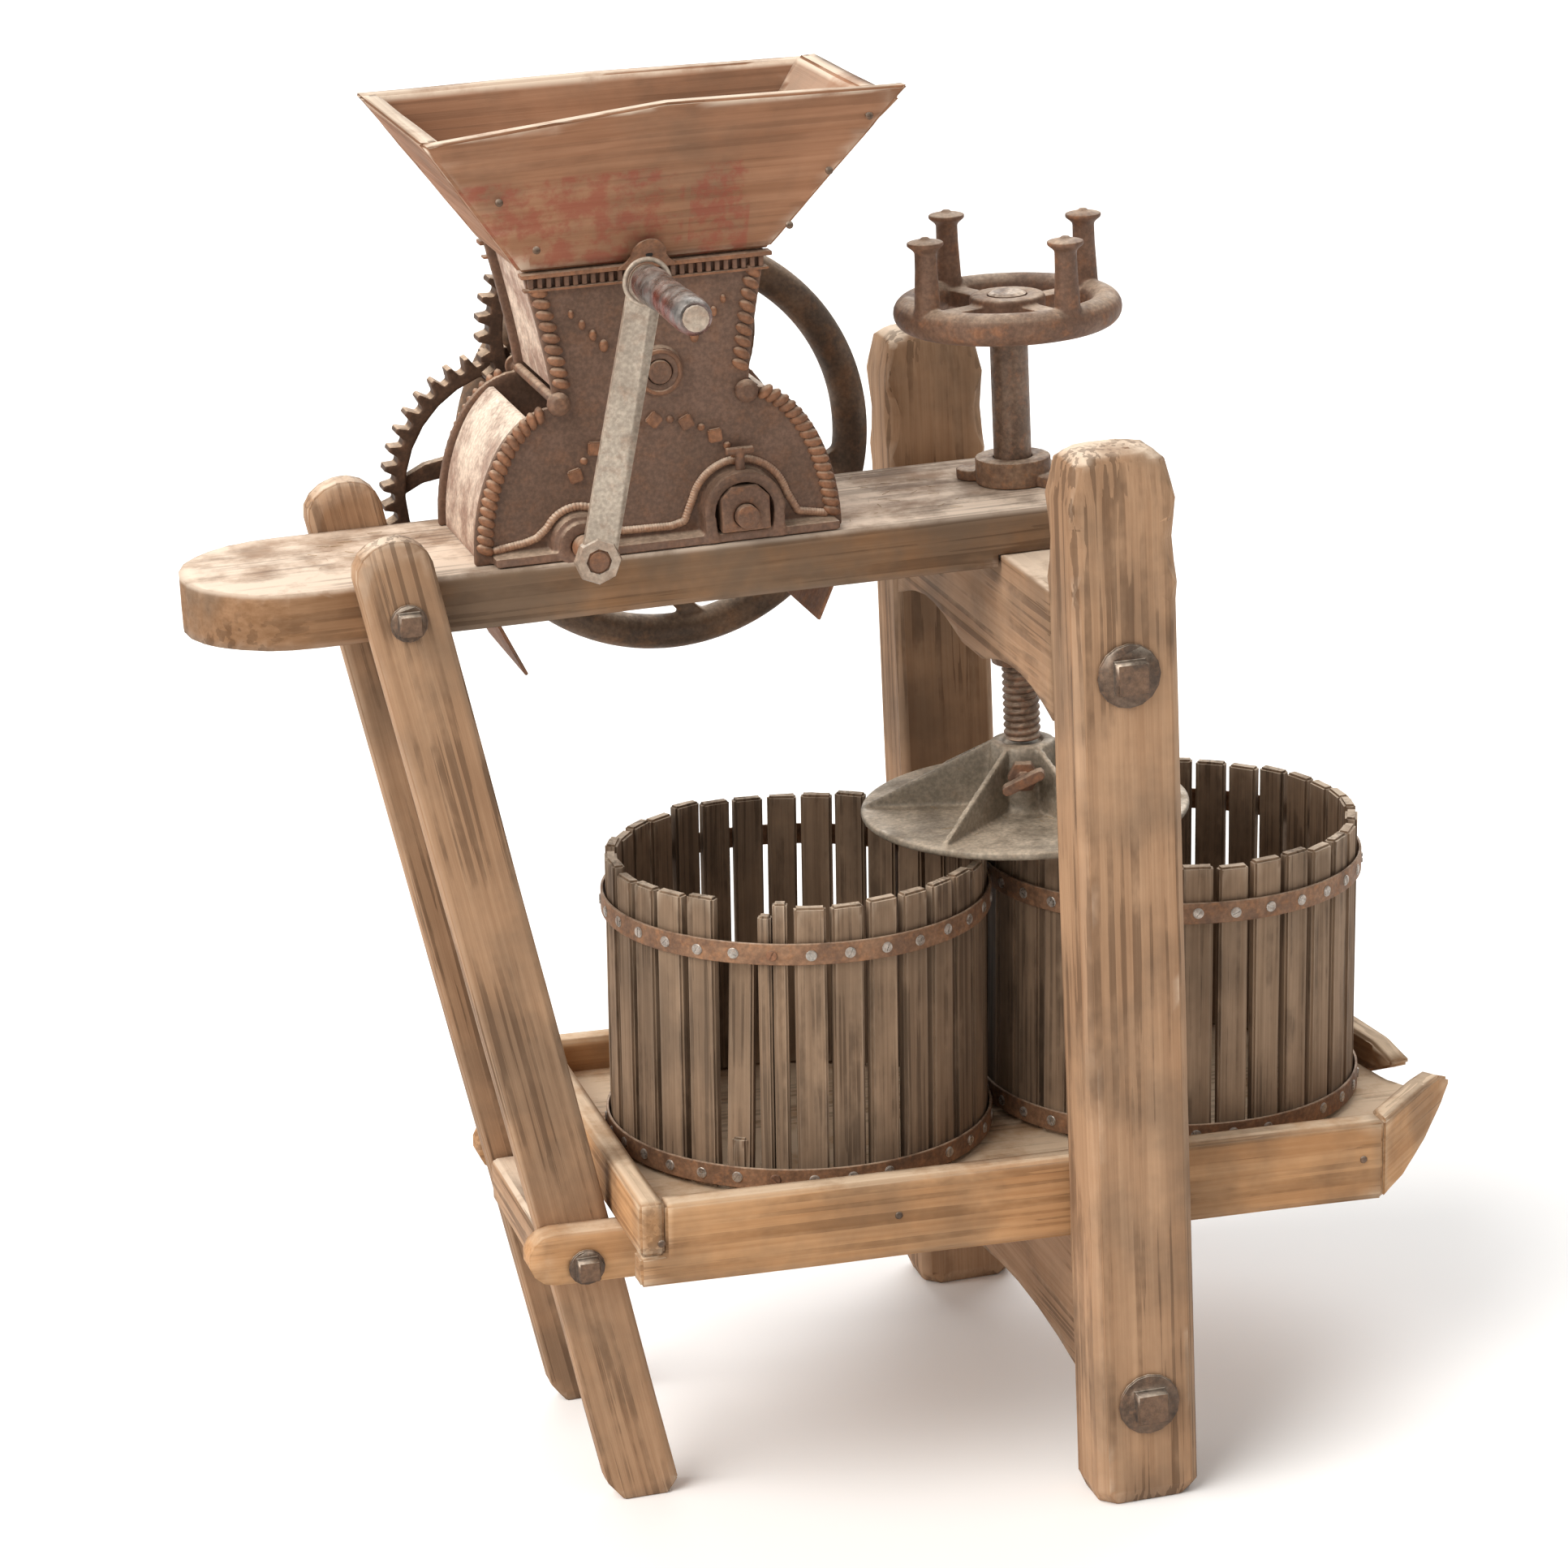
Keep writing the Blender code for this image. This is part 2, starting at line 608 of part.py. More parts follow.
def cheek_outline():
    """Outline of a cheek plate, from the lower left corner round to the lower right one."""
    drum = case_levels(PLANK_TOP_Z + GAP, CASE_WAIST_Z, 8)
    throat = [CASE_WAIST_Z + (CASE_TOP_Z - CASE_WAIST_Z) * k / 4 for k in range(1, 5)]
    levels = drum + throat
    left = [(MILL_X - case_half_width(z), z) for z in levels]
    right = [(MILL_X + case_half_width(z), z) for z in reversed(levels)]
    return left + right


TIE_RODS = {"tie_rod_left": (MILL_X - CASE_WAIST_HALF + 0.003, CASE_WAIST_Z + 0.003),
            "tie_rod_right": (MILL_X + CASE_WAIST_HALF - 0.003, CASE_WAIST_Z - 0.003)}
BLOCK_HALF = 0.022                # half width of the sliding bearing blocks
BLOCK_TOP_Z = FLY_AXIS[1] + 0.026
HOUSING_Y = 0.100                 # outer face of the arched housings


def bearing_outline(grow):
    """Octagon-topped bearing block, grown all round by the given amount."""
    x, half = FLY_AXIS[0], BLOCK_HALF + grow
    cut = 0.010
    bottom = PLANK_TOP_Z + 0.010 - grow
    top = BLOCK_TOP_Z + grow
    return [(x - half, bottom), (x + half, bottom), (x + half, top - cut), (x + half - cut, top),
            (x - half + cut, top), (x - half, top - cut)]


def make_cheek(name, side):
    """Cast cheek plate with its foot flange, crank-shaft boss and arched bearing housing."""
    inner = CHEEK_OUTER_Y - CHEEK_THICKNESS
    cheek = finish(name, prism(cheek_outline(), "Y", *sorted((side * inner, side * CHEEK_OUTER_Y))),
                   "painted_iron")
    overlap = CHEEK_OUTER_Y - 0.001
    outward = sorted((side * overlap, side * HOUSING_Y))
    flange = finish(name + "_flange", block((MILL_X - 0.150, MILL_X + 0.158),
                    sorted((side * overlap, side * 0.0985)), (PLANK_TOP_Z + GAP, PLANK_TOP_Z + 0.009)))
    low = PLANK_TOP_Z + 0.0005
    boss = [(CRANK_AXIS[0] - 0.027, low), (CRANK_AXIS[0] + 0.027, low)]
    boss += arc(CRANK_AXIS, 0.027, 0, 180, 10)
    crank_boss = finish(name + "_crank_boss", prism(boss, "Y", *outward))
    arch = [(FLY_AXIS[0] - 0.036, low), (FLY_AXIS[0] + 0.036, low)]
    arch += arc((FLY_AXIS[0], FLY_AXIS[1] + 0.002), 0.036, 0, 180, 12)
    housing = finish(name + "_housing", prism(arch, "Y", *outward))
    pocket = finish(name + "_pocket", prism(bearing_outline(GAP), "Y",
                    *sorted((side * (CHEEK_OUTER_Y + GAP), side * 0.12))))
    roller_boss = finish(name + "_roller_boss",
                         rod(0.022, "Y", *sorted((side * overlap, side * 0.086)), ROLLER_AXIS, 20))
    for tool in (flange, crank_boss, housing, roller_boss):
        combine(cheek, tool, "UNION")
    combine(cheek, pocket, "DIFFERENCE")
    for axis in (CRANK_AXIS, FLY_AXIS, ROLLER_AXIS):
        bore(cheek, SHAFT_RADIUS + 0.0006, "Y", *sorted((side * 0.06, side * 0.12)), axis, 18)
    for spot in TIE_RODS.values():
        bore(cheek, 0.0052, "Y", *sorted((side * 0.06, side * 0.12)), spot, 12)
    return cheek


def make_shell(name, side, levels):
    """Curved sheet between the cheeks that follows their outline a little inside it."""
    outside = [(MILL_X + side * (case_half_width(z) - SHELL_INSET), z) for z in levels]
    inside = [(x - side * SHELL_THICKNESS, z) for x, z in reversed(outside)]
    y = CHEEK_OUTER_Y - CHEEK_THICKNESS - GAP
    return finish(name, prism(outside + inside, "Y", -y, y), "painted_iron", smooth=30)


def make_shells():
    """Two throat shells above the waist and two drum shells below it."""
    for word, side in (("left", -1), ("right", 1)):
        throat = [CASE_WAIST_Z + 0.009 + (CASE_TOP_Z - CASE_WAIST_Z - 0.009) * k / 4
                  for k in range(5)]
        make_shell("throat_shell_" + word, side, throat)
        drum = case_levels(PLANK_TOP_Z + GAP, CASE_WAIST_Z - 0.011, 7)
        make_shell("drum_shell_" + word, side, drum)


def make_tie_rod(name, spot):
    """Rod through both cheeks, with a round head outside each."""
    reach = CHEEK_OUTER_Y + GAP
    profile = [(0, -reach - 0.009), (0.006, -reach - 0.009), (0.0105, -reach - 0.005),
               (0.0105, -reach), (0.0046, -reach), (0.0046, reach), (0.0105, reach),
               (0.0105, reach + 0.005), (0.006, reach + 0.009), (0, reach + 0.009)]
    return finish(name, turned(profile, 12, "Y", (spot[0], 0, spot[1])), "rusty_iron", smooth=40)


def make_bearing(name, side):
    """Sliding bearing block of the flywheel shaft."""
    y_pair = sorted((side * (CHEEK_OUTER_Y + 2 * GAP), side * 0.104))
    body = finish(name, prism(bearing_outline(-GAP), "Y", *y_pair), "rusty_iron")
    return bore(body, SHAFT_RADIUS + 0.0006, "Y", *sorted((side * 0.06, side * 0.12)), FLY_AXIS, 18)


def make_chute(name, top, bottom):
    """Sheet-metal plate under the plank that guides the pulp down."""
    direction = (Vector(bottom) - Vector(top)).normalized()
    normal = Vector((-direction.y, direction.x)) * 0.0015
    corners = [Vector(top) - normal, Vector(bottom) - normal, Vector(bottom) + normal,
               Vector(top) + normal]
    plate = prism([(p.x, p.y) for p in corners], "Y", -0.075, 0.075)
    return finish(name, plate, "rusty_iron")


# ---------------------------------------------------------------- hopper
HOPPER_LIFT = {"front": 0.014, "back": -0.004}     # how much higher each long board ends at +X
HOPPER_CROWN = {"front": 0.011, "back": 0.002}    # how much its upper edge is bowed up


def make_hopper():
    """Four sloping boards that form a funnel on the casing."""
    x_low = (MILL_X - CASE_TOP_HALF - 0.003, MILL_X + CASE_TOP_HALF + 0.003)
    y_low = CHEEK_OUTER_Y + 0.004
    rise = HOPPER_TOP_Z - HOPPER_BOTTOM_Z

    def row(x_pair, y, z, side):
        """Six points round the section of a long board, outer face first."""
        xs = (x_pair[0], sum(x_pair) / 2, x_pair[1])
        outer = [(x, side * y, z) for x in xs]
        return outer + [(x, side * (y - HOPPER_BOARD), z) for x in reversed(xs)]

    for word, side in (("front", -1), ("back", 1)):
        upper = []
        for x, y, z in row(HOPPER_TOP_X, HOPPER_TOP_HALF_Y, HOPPER_TOP_Z, side):
            along = (x - HOPPER_TOP_X[0]) / (HOPPER_TOP_X[1] - HOPPER_TOP_X[0])
            crown = HOPPER_CROWN[word] * (1 - (2 * along - 1)**2)
            upper.append((x, y, z + HOPPER_LIFT[word] * along + crown))
        lower = row(x_low, y_low, HOPPER_BOTTOM_Z, side)
        finish("hopper_board_" + word, ring_loft([lower, upper]), "hopper_wood")

    def end_reach(word, along):
        """Half width of an end board's upper edge, inside the long board on that side."""
        slope = (HOPPER_TOP_HALF_Y - y_low) / (rise + HOPPER_LIFT[word] * along)
        return y_low + slope * rise - HOPPER_BOARD - 5 * GAP

    for word, along, x, inward in (("left", 0, 0, 1), ("right", 1, 1, -1)):
        y = y_low - HOPPER_BOARD - GAP
        corners = ((x_low[x], HOPPER_BOTTOM_Z, y, y),
                   (HOPPER_TOP_X[x], HOPPER_TOP_Z, end_reach("front", along), end_reach("back", along)))
        quads = []
        for edge, z, front, back in corners:
            inner = edge + inward * HOPPER_BOARD
            quads.append([(edge, -front, z), (inner, -front, z), (inner, back, z), (edge, back, z)])
        finish("hopper_board_" + word, ring_loft(quads), "hopper_wood")


# ---------------------------------------------------------------- gears, shafts, flywheel
def involute(angle):
    """Involute function of a pressure angle."""
    return math.tan(angle) - angle


def gear_outline(teeth, phase, flank_points):
    """Outline of a spur gear about the origin, with a tooth centred on the phase angle."""
    pitch_radius = MODULE * teeth / 2
    base = pitch_radius * math.cos(PRESSURE_ANGLE)
    root = pitch_radius - DEDENDUM * MODULE
    tip = pitch_radius + ADDENDUM * MODULE
    half_at_pitch = math.pi / (2 * teeth) - BACKLASH / (2 * pitch_radius)

    def half_angle(radius):
        radius = max(radius, base)
        return half_at_pitch + involute(PRESSURE_ANGLE) - involute(math.acos(base / radius))

    radii = [root + (tip - root) * k / (flank_points - 1) for k in range(flank_points)]
    points = []
    for k in range(teeth):
        middle = phase + math.tau * k / teeth
        for radius in radii:
            points.append((middle - half_angle(radius), radius))
        for radius in reversed(radii):
            points.append((middle + half_angle(radius), radius))
    return [(r * math.cos(a), r * math.sin(a)) for a, r in points]


def make_wheel(name, teeth, y_pair, phase, rim, spokes, spoke_turn, spoke_width, parent):
    """Toothed wheel with a rim, curved spokes and a hub, bored for its shaft."""
    outline = gear_outline(teeth, phase, 2)
    y0, y1 = y_pair
    wheel = finish(name, prism(outline, "Y", y0, y1), "painted_iron", parent)
    hollow = MODULE * teeth / 2 - DEDENDUM * MODULE - rim
    window = finish(name + "_window", rod(hollow, "Y", y0 - 0.01, y1 + 0.01, (0, 0), 30),
                    parent=parent)
    combine(wheel, window, "DIFFERENCE")
    web = spider_outline(hollow + rim / 2, 0.026, spokes, spoke_width, spoke_turn, WHEEL_SPOKE_SWEEP)
    middle = (y0 + y1) / 2
    spider = finish(name + "_spider", prism(web, "Y", middle - 0.006, middle + 0.006),
                    parent=parent)
    combine(wheel, spider, "UNION")
    return bore(wheel, SHAFT_RADIUS + 0.0004, "Y", y0 - 0.02, y1 + 0.02, (0, 0), 18)


def spider_outline(reach, hub, spokes, width, turn, sweep):
    """Hub with swept spokes, as one outline about the origin; the first leaves the hub at turn."""
    points = []
    steps = 4
    for k in range(spokes):
        start = turn + math.tau * k / spokes
        leading, trailing = [], []
        for i in range(steps + 1):
            share = i / steps
            radius = hub + (reach - hub) * share
            angle = start + sweep * share**1.4
            half = width * (1.15 - 0.3 * share) / (2 * radius)
            leading.append((radius, angle - half))
            trailing.append((radius, angle + half))
        points += leading + trailing[::-1]
        points.append((hub, start + math.tau / spokes / 2))
    return [(r * math.cos(a), r * math.sin(a)) for r, a in points]


def direction(start, end):
    """Angle of the line between two axes, in the XZ plane."""
    return math.atan2(end[1] - start[1], end[0] - start[0])


def axle(name, axis):
    """Empty on a shaft's axis, which carries the pieces that turn with it."""
    empty = bpy.data.objects.new(name, None)
    empty.location = (axis[0], 0, axis[1])
    bpy.context.scene.collection.objects.link(empty)
    return empty


def roller(name, radius, ribs, length_y, shaft_y, kind, parent, pinion=None):
    """Shaft with a ribbed cylinder between the cheeks, and a pinion cut on it if one is given."""
    half = 0.5 * length_y
    outline = []
    for k in range(ribs):
        start = math.tau * k / ribs
        width = math.tau / ribs
        for share, r in ((0.0, radius), (0.22, radius), (0.30, radius - 0.007), (0.92, radius - 0.007)):
            outline.append((r * math.cos(start + share * width), r * math.sin(start + share * width)))
    body = finish(name, rod(SHAFT_RADIUS, "Y", *shaft_y, (0, 0), 18), kind, parent)
    drum = finish(name + "_drum", prism(outline, "Y", -half, half), parent=parent)
    combine(body, drum, "UNION")
    if pinion:
        teeth, y_pair, phase = pinion
        cut = finish(name + "_pinion", prism(gear_outline(teeth, phase, 3), "Y", *y_pair), parent=parent)
        combine(body, cut, "UNION")
    return body


def make_gear_train():
    """Crank shaft, feed roller and flywheel shaft with their wheels and pinions."""
    crank, feed = axle("crank_axle", CRANK_AXIS), axle("roller_axle", ROLLER_AXIS)
    fly = axle("fly_axle", FLY_AXIS)
    to_roller = direction(CRANK_AXIS, ROLLER_AXIS)
    to_fly = direction(ROLLER_AXIS, FLY_AXIS)
    inside = 2 * (CHEEK_OUTER_Y - CHEEK_THICKNESS) - 0.008

    finish("crank_shaft", rod(SHAFT_RADIUS, "Y", ARM_Y[0] - 0.0025, CRANK_WHEEL_Y[1] + 0.004, (0, 0), 18),
           "rusty_iron", crank)
    make_wheel("crank_wheel", CRANK_TEETH, CRANK_WHEEL_Y, to_roller, 0.010, SPOKES,
               CRANK_SPOKE_TURN, 0.019, crank)

    pinion = (ROLLER_PINION_TEETH, CRANK_WHEEL_Y, to_roller + math.pi + math.pi / ROLLER_PINION_TEETH)
    roller("feed_roller", 0.052, 4, inside, (-0.0885, CRANK_WHEEL_Y[1] + 0.002), "rusty_iron", feed,
           pinion)
    make_wheel("roller_wheel", ROLLER_TEETH, ROLLER_WHEEL_Y, to_fly, 0.012, ROLLER_SPOKES,
               0.0, 0.014, feed)

    pinion = (FLY_PINION_TEETH, ROLLER_WHEEL_Y, to_fly + math.pi + math.pi / FLY_PINION_TEETH)
    roller("grinding_cylinder", 0.055, 9, inside, (-0.112, FLYWHEEL_Y + 0.022), "rusty_iron", fly,
           pinion)
    make_flywheel(fly)
    return crank


def torus(major, minor, along, axis, around, section):
    """Round rim about the Y or Z axis, as a closed turned ring."""
    profile = []
    for k in range(section):
        angle = math.tau * k / section
        profile.append((major + minor * math.cos(angle), along + minor * math.sin(angle)))
    return turned(profile, around, axis, ring=True)


def make_flywheel(parent):
    """Flywheel with a round rim, swept spokes and a hub."""
    major = FLYWHEEL_RADIUS - FLYWHEEL_RIM
    rim = finish("flywheel", torus(major, FLYWHEEL_RIM, FLYWHEEL_Y, "Y", 36, 8), "rusty_iron",
                 parent, smooth=50)
    web = spider_outline(major, 0.030, SPOKES, 0.022, FLY_SPOKE_TURN, FLY_SPOKE_SWEEP)
    spider = finish("flywheel_spider", prism(web, "Y", FLYWHEEL_Y - 0.008, FLYWHEEL_Y + 0.008),
                    parent=parent)
    combine(rim, spider, "UNION")
    hub = finish("flywheel_hub", rod(0.027, "Y", FLYWHEEL_Y - 0.018, FLYWHEEL_Y + 0.018, (0, 0), 20),
                 parent=parent)
    combine(rim, hub, "UNION")
    return bore(rim, SHAFT_RADIUS + 0.0004, "Y", FLYWHEEL_Y - 0.04, FLYWHEEL_Y + 0.04, (0, 0), 18)


# ---------------------------------------------------------------- crank
def make_crank(parent):
    """Flat crank arm, its pin and the turning grip."""
    half = ARM_WIDTH / 2
    end = CRANK_RADIUS
    outline = arc((0, 0), half, 180, 360, 8) + arc((0, end), half, 0, 180, 8)
    lean = (0, CRANK_LEAN, 0)
    arm = finish("crank_arm", prism(outline, "Y", *ARM_Y), "galvanised_steel", parent, (0, 0, 0), lean)
    passage = rod(SHAFT_RADIUS + 0.0004, "Y", ARM_Y[0] - 0.02, ARM_Y[1] + 0.02, (0, 0), 18)
    tool = finish("crank_arm_bore", passage, parent=parent)
    combine(arm, tool, "DIFFERENCE")
    x, z = end * math.sin(CRANK_LEAN), end * math.cos(CRANK_LEAN)
    grip = bpy.data.objects.new("grip_axle", None)
    grip.parent = parent
    grip.location = (x, 0, z)
    bpy.context.scene.collection.objects.link(grip)
    tip = GRIP_Y[0] - GAP
    profile = [(0, tip - 0.004), (0.011, tip - 0.004), (0.011, tip), (0.0060, tip),
               (0.0060, ARM_Y[1] - 0.001), (0.0095, ARM_Y[1] - 0.001), (0.0095, ARM_Y[1] + 0.004),
               (0, ARM_Y[1] + 0.004)]
    pin = finish("crank_pin", turned(profile, 14, "Y", (0, 0, 0)), parent=grip)
    combine(arm, pin, "UNION")
    finish("crank_grip", tube(GRIP_RADIUS, 0.0063, "Y", *GRIP_Y, (0, 0), 18), "grip_paint", grip,
           smooth=40)


# ---------------------------------------------------------------- screw press
def make_press():
    """Nut, screw, handwheel with four pegs, and the press plate with its thumb screw."""
    def empty(name, z):
        made = bpy.data.objects.new(name, None)
        made.location = (SCREW_X, 0, z)
        bpy.context.scene.collection.objects.link(made)
        return made

    # nut: a flange with two ears on the plank, and a boss under the crosshead
    flange = finish("screw_nut", tube(0.034, SCREW_RADIUS + 0.0006, "Z", PLANK_TOP_Z + GAP,
                                      PLANK_TOP_Z + 0.024, (SCREW_X, 0), 20), "rusty_iron")
    for turn in (-45, 135):
        ear_x = SCREW_X + 0.040 * math.cos(math.radians(turn))
        ear_y = 0.040 * math.sin(math.radians(turn))
        ear = finish("nut_ear", rod(0.016, "Z", PLANK_TOP_Z + GAP, PLANK_TOP_Z + 0.010,
                                    (ear_x, ear_y), 14))
        combine(flange, ear, "UNION")
    bore(flange, SCREW_RADIUS + 0.0006, "Z", 0.86, 0.91, (SCREW_X, 0), 20)
    finish("lower_nut", tube(0.026, SCREW_RADIUS + 0.0006, "Z", 0.703, CROSS_BOSS_Z - GAP,
                             (SCREW_X, 0), 20), "rusty_iron", smooth=40)

    screw = empty("screw_axle", 0)
    finish("press_screw", rod(SCREW_RADIUS, "Z", HUB_TOP_Z + GAP, WHEEL_Z + 0.016, (0, 0), 20,
                              0.001), "rusty_iron", screw, smooth=40)
    ring = finish("handwheel", torus(WHEEL_RADIUS, WHEEL_TUBE, WHEEL_Z, "Z", 28, 8), "rusty_iron",
                  screw, smooth=50)
    hub = finish("handwheel_hub", rod(0.034, "Z", WHEEL_Z - 0.012, WHEEL_Z + 0.014, (0, 0), 20),
                 parent=screw)
    combine(ring, hub, "UNION")
    for k in range(4):
        turn = PEG_TURN + math.tau * k / 4
        c, s = math.cos(turn), math.sin(turn)
        bar = finish("handwheel_spoke", block((0.025, WHEEL_RADIUS), (-0.010, 0.010),
                                              (WHEEL_Z - 0.008, WHEEL_Z + 0.008)),
                     parent=screw, rotation=(0, 0, turn))
        combine(ring, bar, "UNION")
        profile = [(0, WHEEL_Z), (0.0125, WHEEL_Z), (0.0105, PEG_TOP_Z - 0.012),
                   (0.0165, PEG_TOP_Z - 0.007), (0.0165, PEG_TOP_Z - 0.004), (0, PEG_TOP_Z)]
        peg = finish("handwheel_peg", turned(profile, 10, "Z", (WHEEL_RADIUS * c, WHEEL_RADIUS * s, 0)),
                     parent=screw)
        combine(ring, peg, "UNION")
    bore(ring, SCREW_RADIUS + 0.0004, "Z", WHEEL_Z - 0.05, WHEEL_Z + 0.05, (0, 0), 20)

    plate = empty("plate_axle", 0)
    top = PLATE_BOTTOM_Z + PLATE_THICKNESS
    profile = [(0, PLATE_BOTTOM_Z), (PLATE_RADIUS - 0.003, PLATE_BOTTOM_Z),
               (PLATE_RADIUS, PLATE_BOTTOM_Z + 0.003), (PLATE_RADIUS - 0.001, top), (0.034, top),
               (0.030, HUB_TOP_Z), (0, HUB_TOP_Z)]
    disc = finish("press_plate", turned(profile, 36), "plate_iron", plate, smooth=30)
    for k in range(RIBS):
        web = [(0.020, top - 0.002), (PLATE_RADIUS - 0.005, top - 0.002),
               (PLATE_RADIUS - 0.005, top + 0.0015), (0.0295, HUB_TOP_Z - 0.001),
               (0.020, HUB_TOP_Z - 0.001)]
        rib = finish("plate_rib", prism(web, "Y", -RIB_THICKNESS / 2, RIB_THICKNESS / 2),
                     parent=plate, rotation=(0, 0, RIB_TURN + math.tau * k / RIBS))
        combine(disc, rib, "UNION")

    # thumb screw: hexagonal shank, collar and neck, and a flat wing with round ends
    face = 0.0335
    turn = (0, 0, THUMB_TURN)
    profile = [(0, face), (0.0085, face), (0.0085, face + 0.0045), (0.0145, face + 0.0045),
               (0.0145, face + 0.0165), (0.0065, face + 0.0165), (0.0065, face + 0.024),
               (0, face + 0.024)]
    stem = finish("thumb_screw", turned(profile, 6, "X", (0, 0, THUMB_Z)), "rusty_iron", plate,
                  rotation=turn)
    half, reach = 0.0045, 0.0165
    wing = arc((reach, 0), half, -90, 90, 4) + arc((-reach, 0), half, 90, 270, 4)
    c, s = math.cos(WING_LEAN), math.sin(WING_LEAN)
    outline = [(a * c - b * s, THUMB_Z + a * s + b * c) for a, b in wing]
    blade = finish("thumb_wing", prism(outline, "X", face + 0.0215, face + 0.0345), parent=plate,
                   rotation=turn)
    combine(stem, blade, "UNION")
    return disc


def clear_scene():
    """Start from an empty scene."""
    for old in list(bpy.data.objects):
        bpy.data.objects.remove(old, do_unlink=True)


def build():
    """Make every piece of the press."""
    clear_scene()
    for word, side in (("front", -1), ("back", 1)):
        post = make_post("post_" + word, side)
        for height, z in POST_BOLT_Z.items():
            make_bolt("post_bolt_" + height + "_" + word, SCREW_X, z, side, POST_OUTER_Y, POST_BOLT)
            bolt_hole(post, SCREW_X, z)
    bolt_hole(make_crosshead(), SCREW_X, POST_BOLT_Z["upper"])
    bolt_hole(make_stretcher(), SCREW_X, POST_BOLT_Z["lower"])
    bolt_hole(make_plank(), leg_axis_x(LEG_BOLT_Z), LEG_BOLT_Z)

    pivot = bpy.data.objects.new("tray_frame", None)
    bpy.context.scene.collection.objects.link(pivot)
    pivot.location = (SCREW_X, 0, STRETCHER_TOP_Z + RAIL_HEIGHT + 0.0012)
    pivot.rotation_euler = (0, TRAY_TILT, 0)
    rail_x = leg_axis_x(RAIL_BOLT_Z)
    for word, side in (("front", -1), ("back", 1)):
        leg = make_leg("leg_" + word, side)
        rail = make_rail("rail_" + word, side, RAIL_LEFT_X[word], pivot)
        bolt_hole(leg, leg_axis_x(LEG_BOLT_Z), LEG_BOLT_Z)
        bolt_hole(leg, rail_x, RAIL_BOLT_Z)
        bolt_hole(rail, rail_x, RAIL_BOLT_Z)
        make_bolt("leg_bolt_" + word, leg_axis_x(LEG_BOLT_Z), LEG_BOLT_Z, side, LEG_OUTER_Y, LEG_BOLT)
        make_bolt("rail_bolt_" + word, rail_x, RAIL_BOLT_Z, side, RAIL_OUTER_Y, RAIL_BOLT)
    make_cross_bar()
    make_tray(pivot)
    for word, x in zip(("left", "right"), TUB_X):
        centre = x - SCREW_X
        make_slat_ring("tub_slats_" + word, centre, pivot)
        make_hoop("tub_hoop_top_" + word, centre, TOP_HOOP_FROM_BOTTOM, pivot)
        make_hoop("tub_hoop_bottom_" + word, centre, BOTTOM_HOOP_FROM_BOTTOM, pivot)

    make_cheek("cheek_front", -1)
    make_cheek("cheek_back", 1)
    make_shells()
    for name, spot in TIE_RODS.items():
        make_tie_rod(name, spot)
    make_bearing("bearing_block_front", -1)
    make_bearing("bearing_block_back", 1)
    low = PLANK_BOTTOM_Z - 0.0012
    make_chute("chute_plate_left", (-0.302, low), (-0.278, 0.768))
    make_chute("chute_plate_right", (0.002, low), (-0.014, 0.786))
    make_hopper()
    make_crank(make_gear_train())
    make_press()


build()
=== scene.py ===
# %% [markdown]
# # A double-tub apple cider press
# Apples go in the hopper, a geared mill grinds them into a slatted tub, and a screw presses the
# pulp in the other tub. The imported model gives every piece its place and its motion. This script
# gives each piece the surface of a hundred-year-old farm machine: dry cracked wood, dusty
# painted castings and dry brown rust. Lengths are in metres, +Z is up, and the crank is at -Y.

# %% Load the frame
import json
import math
import random

import bmesh
import bpy
from mathutils import Matrix, Vector, noise


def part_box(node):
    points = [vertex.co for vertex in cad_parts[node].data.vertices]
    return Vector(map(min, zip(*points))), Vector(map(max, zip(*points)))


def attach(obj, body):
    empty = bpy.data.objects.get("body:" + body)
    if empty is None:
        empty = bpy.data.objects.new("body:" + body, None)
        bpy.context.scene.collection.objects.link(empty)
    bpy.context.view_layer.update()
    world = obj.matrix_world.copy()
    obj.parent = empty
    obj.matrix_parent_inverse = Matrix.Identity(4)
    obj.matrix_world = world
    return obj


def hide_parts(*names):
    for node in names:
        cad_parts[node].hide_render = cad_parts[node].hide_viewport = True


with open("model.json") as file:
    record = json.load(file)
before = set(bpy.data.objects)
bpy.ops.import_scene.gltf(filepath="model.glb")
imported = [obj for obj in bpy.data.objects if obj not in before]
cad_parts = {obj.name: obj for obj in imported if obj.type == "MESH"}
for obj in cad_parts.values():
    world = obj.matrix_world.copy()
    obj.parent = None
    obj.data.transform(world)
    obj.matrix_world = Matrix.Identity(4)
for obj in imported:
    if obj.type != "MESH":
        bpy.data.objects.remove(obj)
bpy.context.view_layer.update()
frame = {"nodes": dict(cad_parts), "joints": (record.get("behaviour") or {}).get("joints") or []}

# %% [markdown]
# ## Camera, light and floor
# The press is seen from a little left of its front and from above, with a long lens. The light
# is a pale room: one broad sun high on the left, a weaker one from behind, and a white sky.
# Suns are used rather than area lamps so that the floor stays evenly white out to the edges.

# %% Camera, light and floor
AIM = Vector((-0.0334, 0.0, 0.6151))
AZIMUTH = math.radians(-14.7)
ELEVATION = math.radians(17.48)
DISTANCE = 4.455
ROLL = math.radians(-2.866)
VIEW_ANGLE = math.radians(18.05)

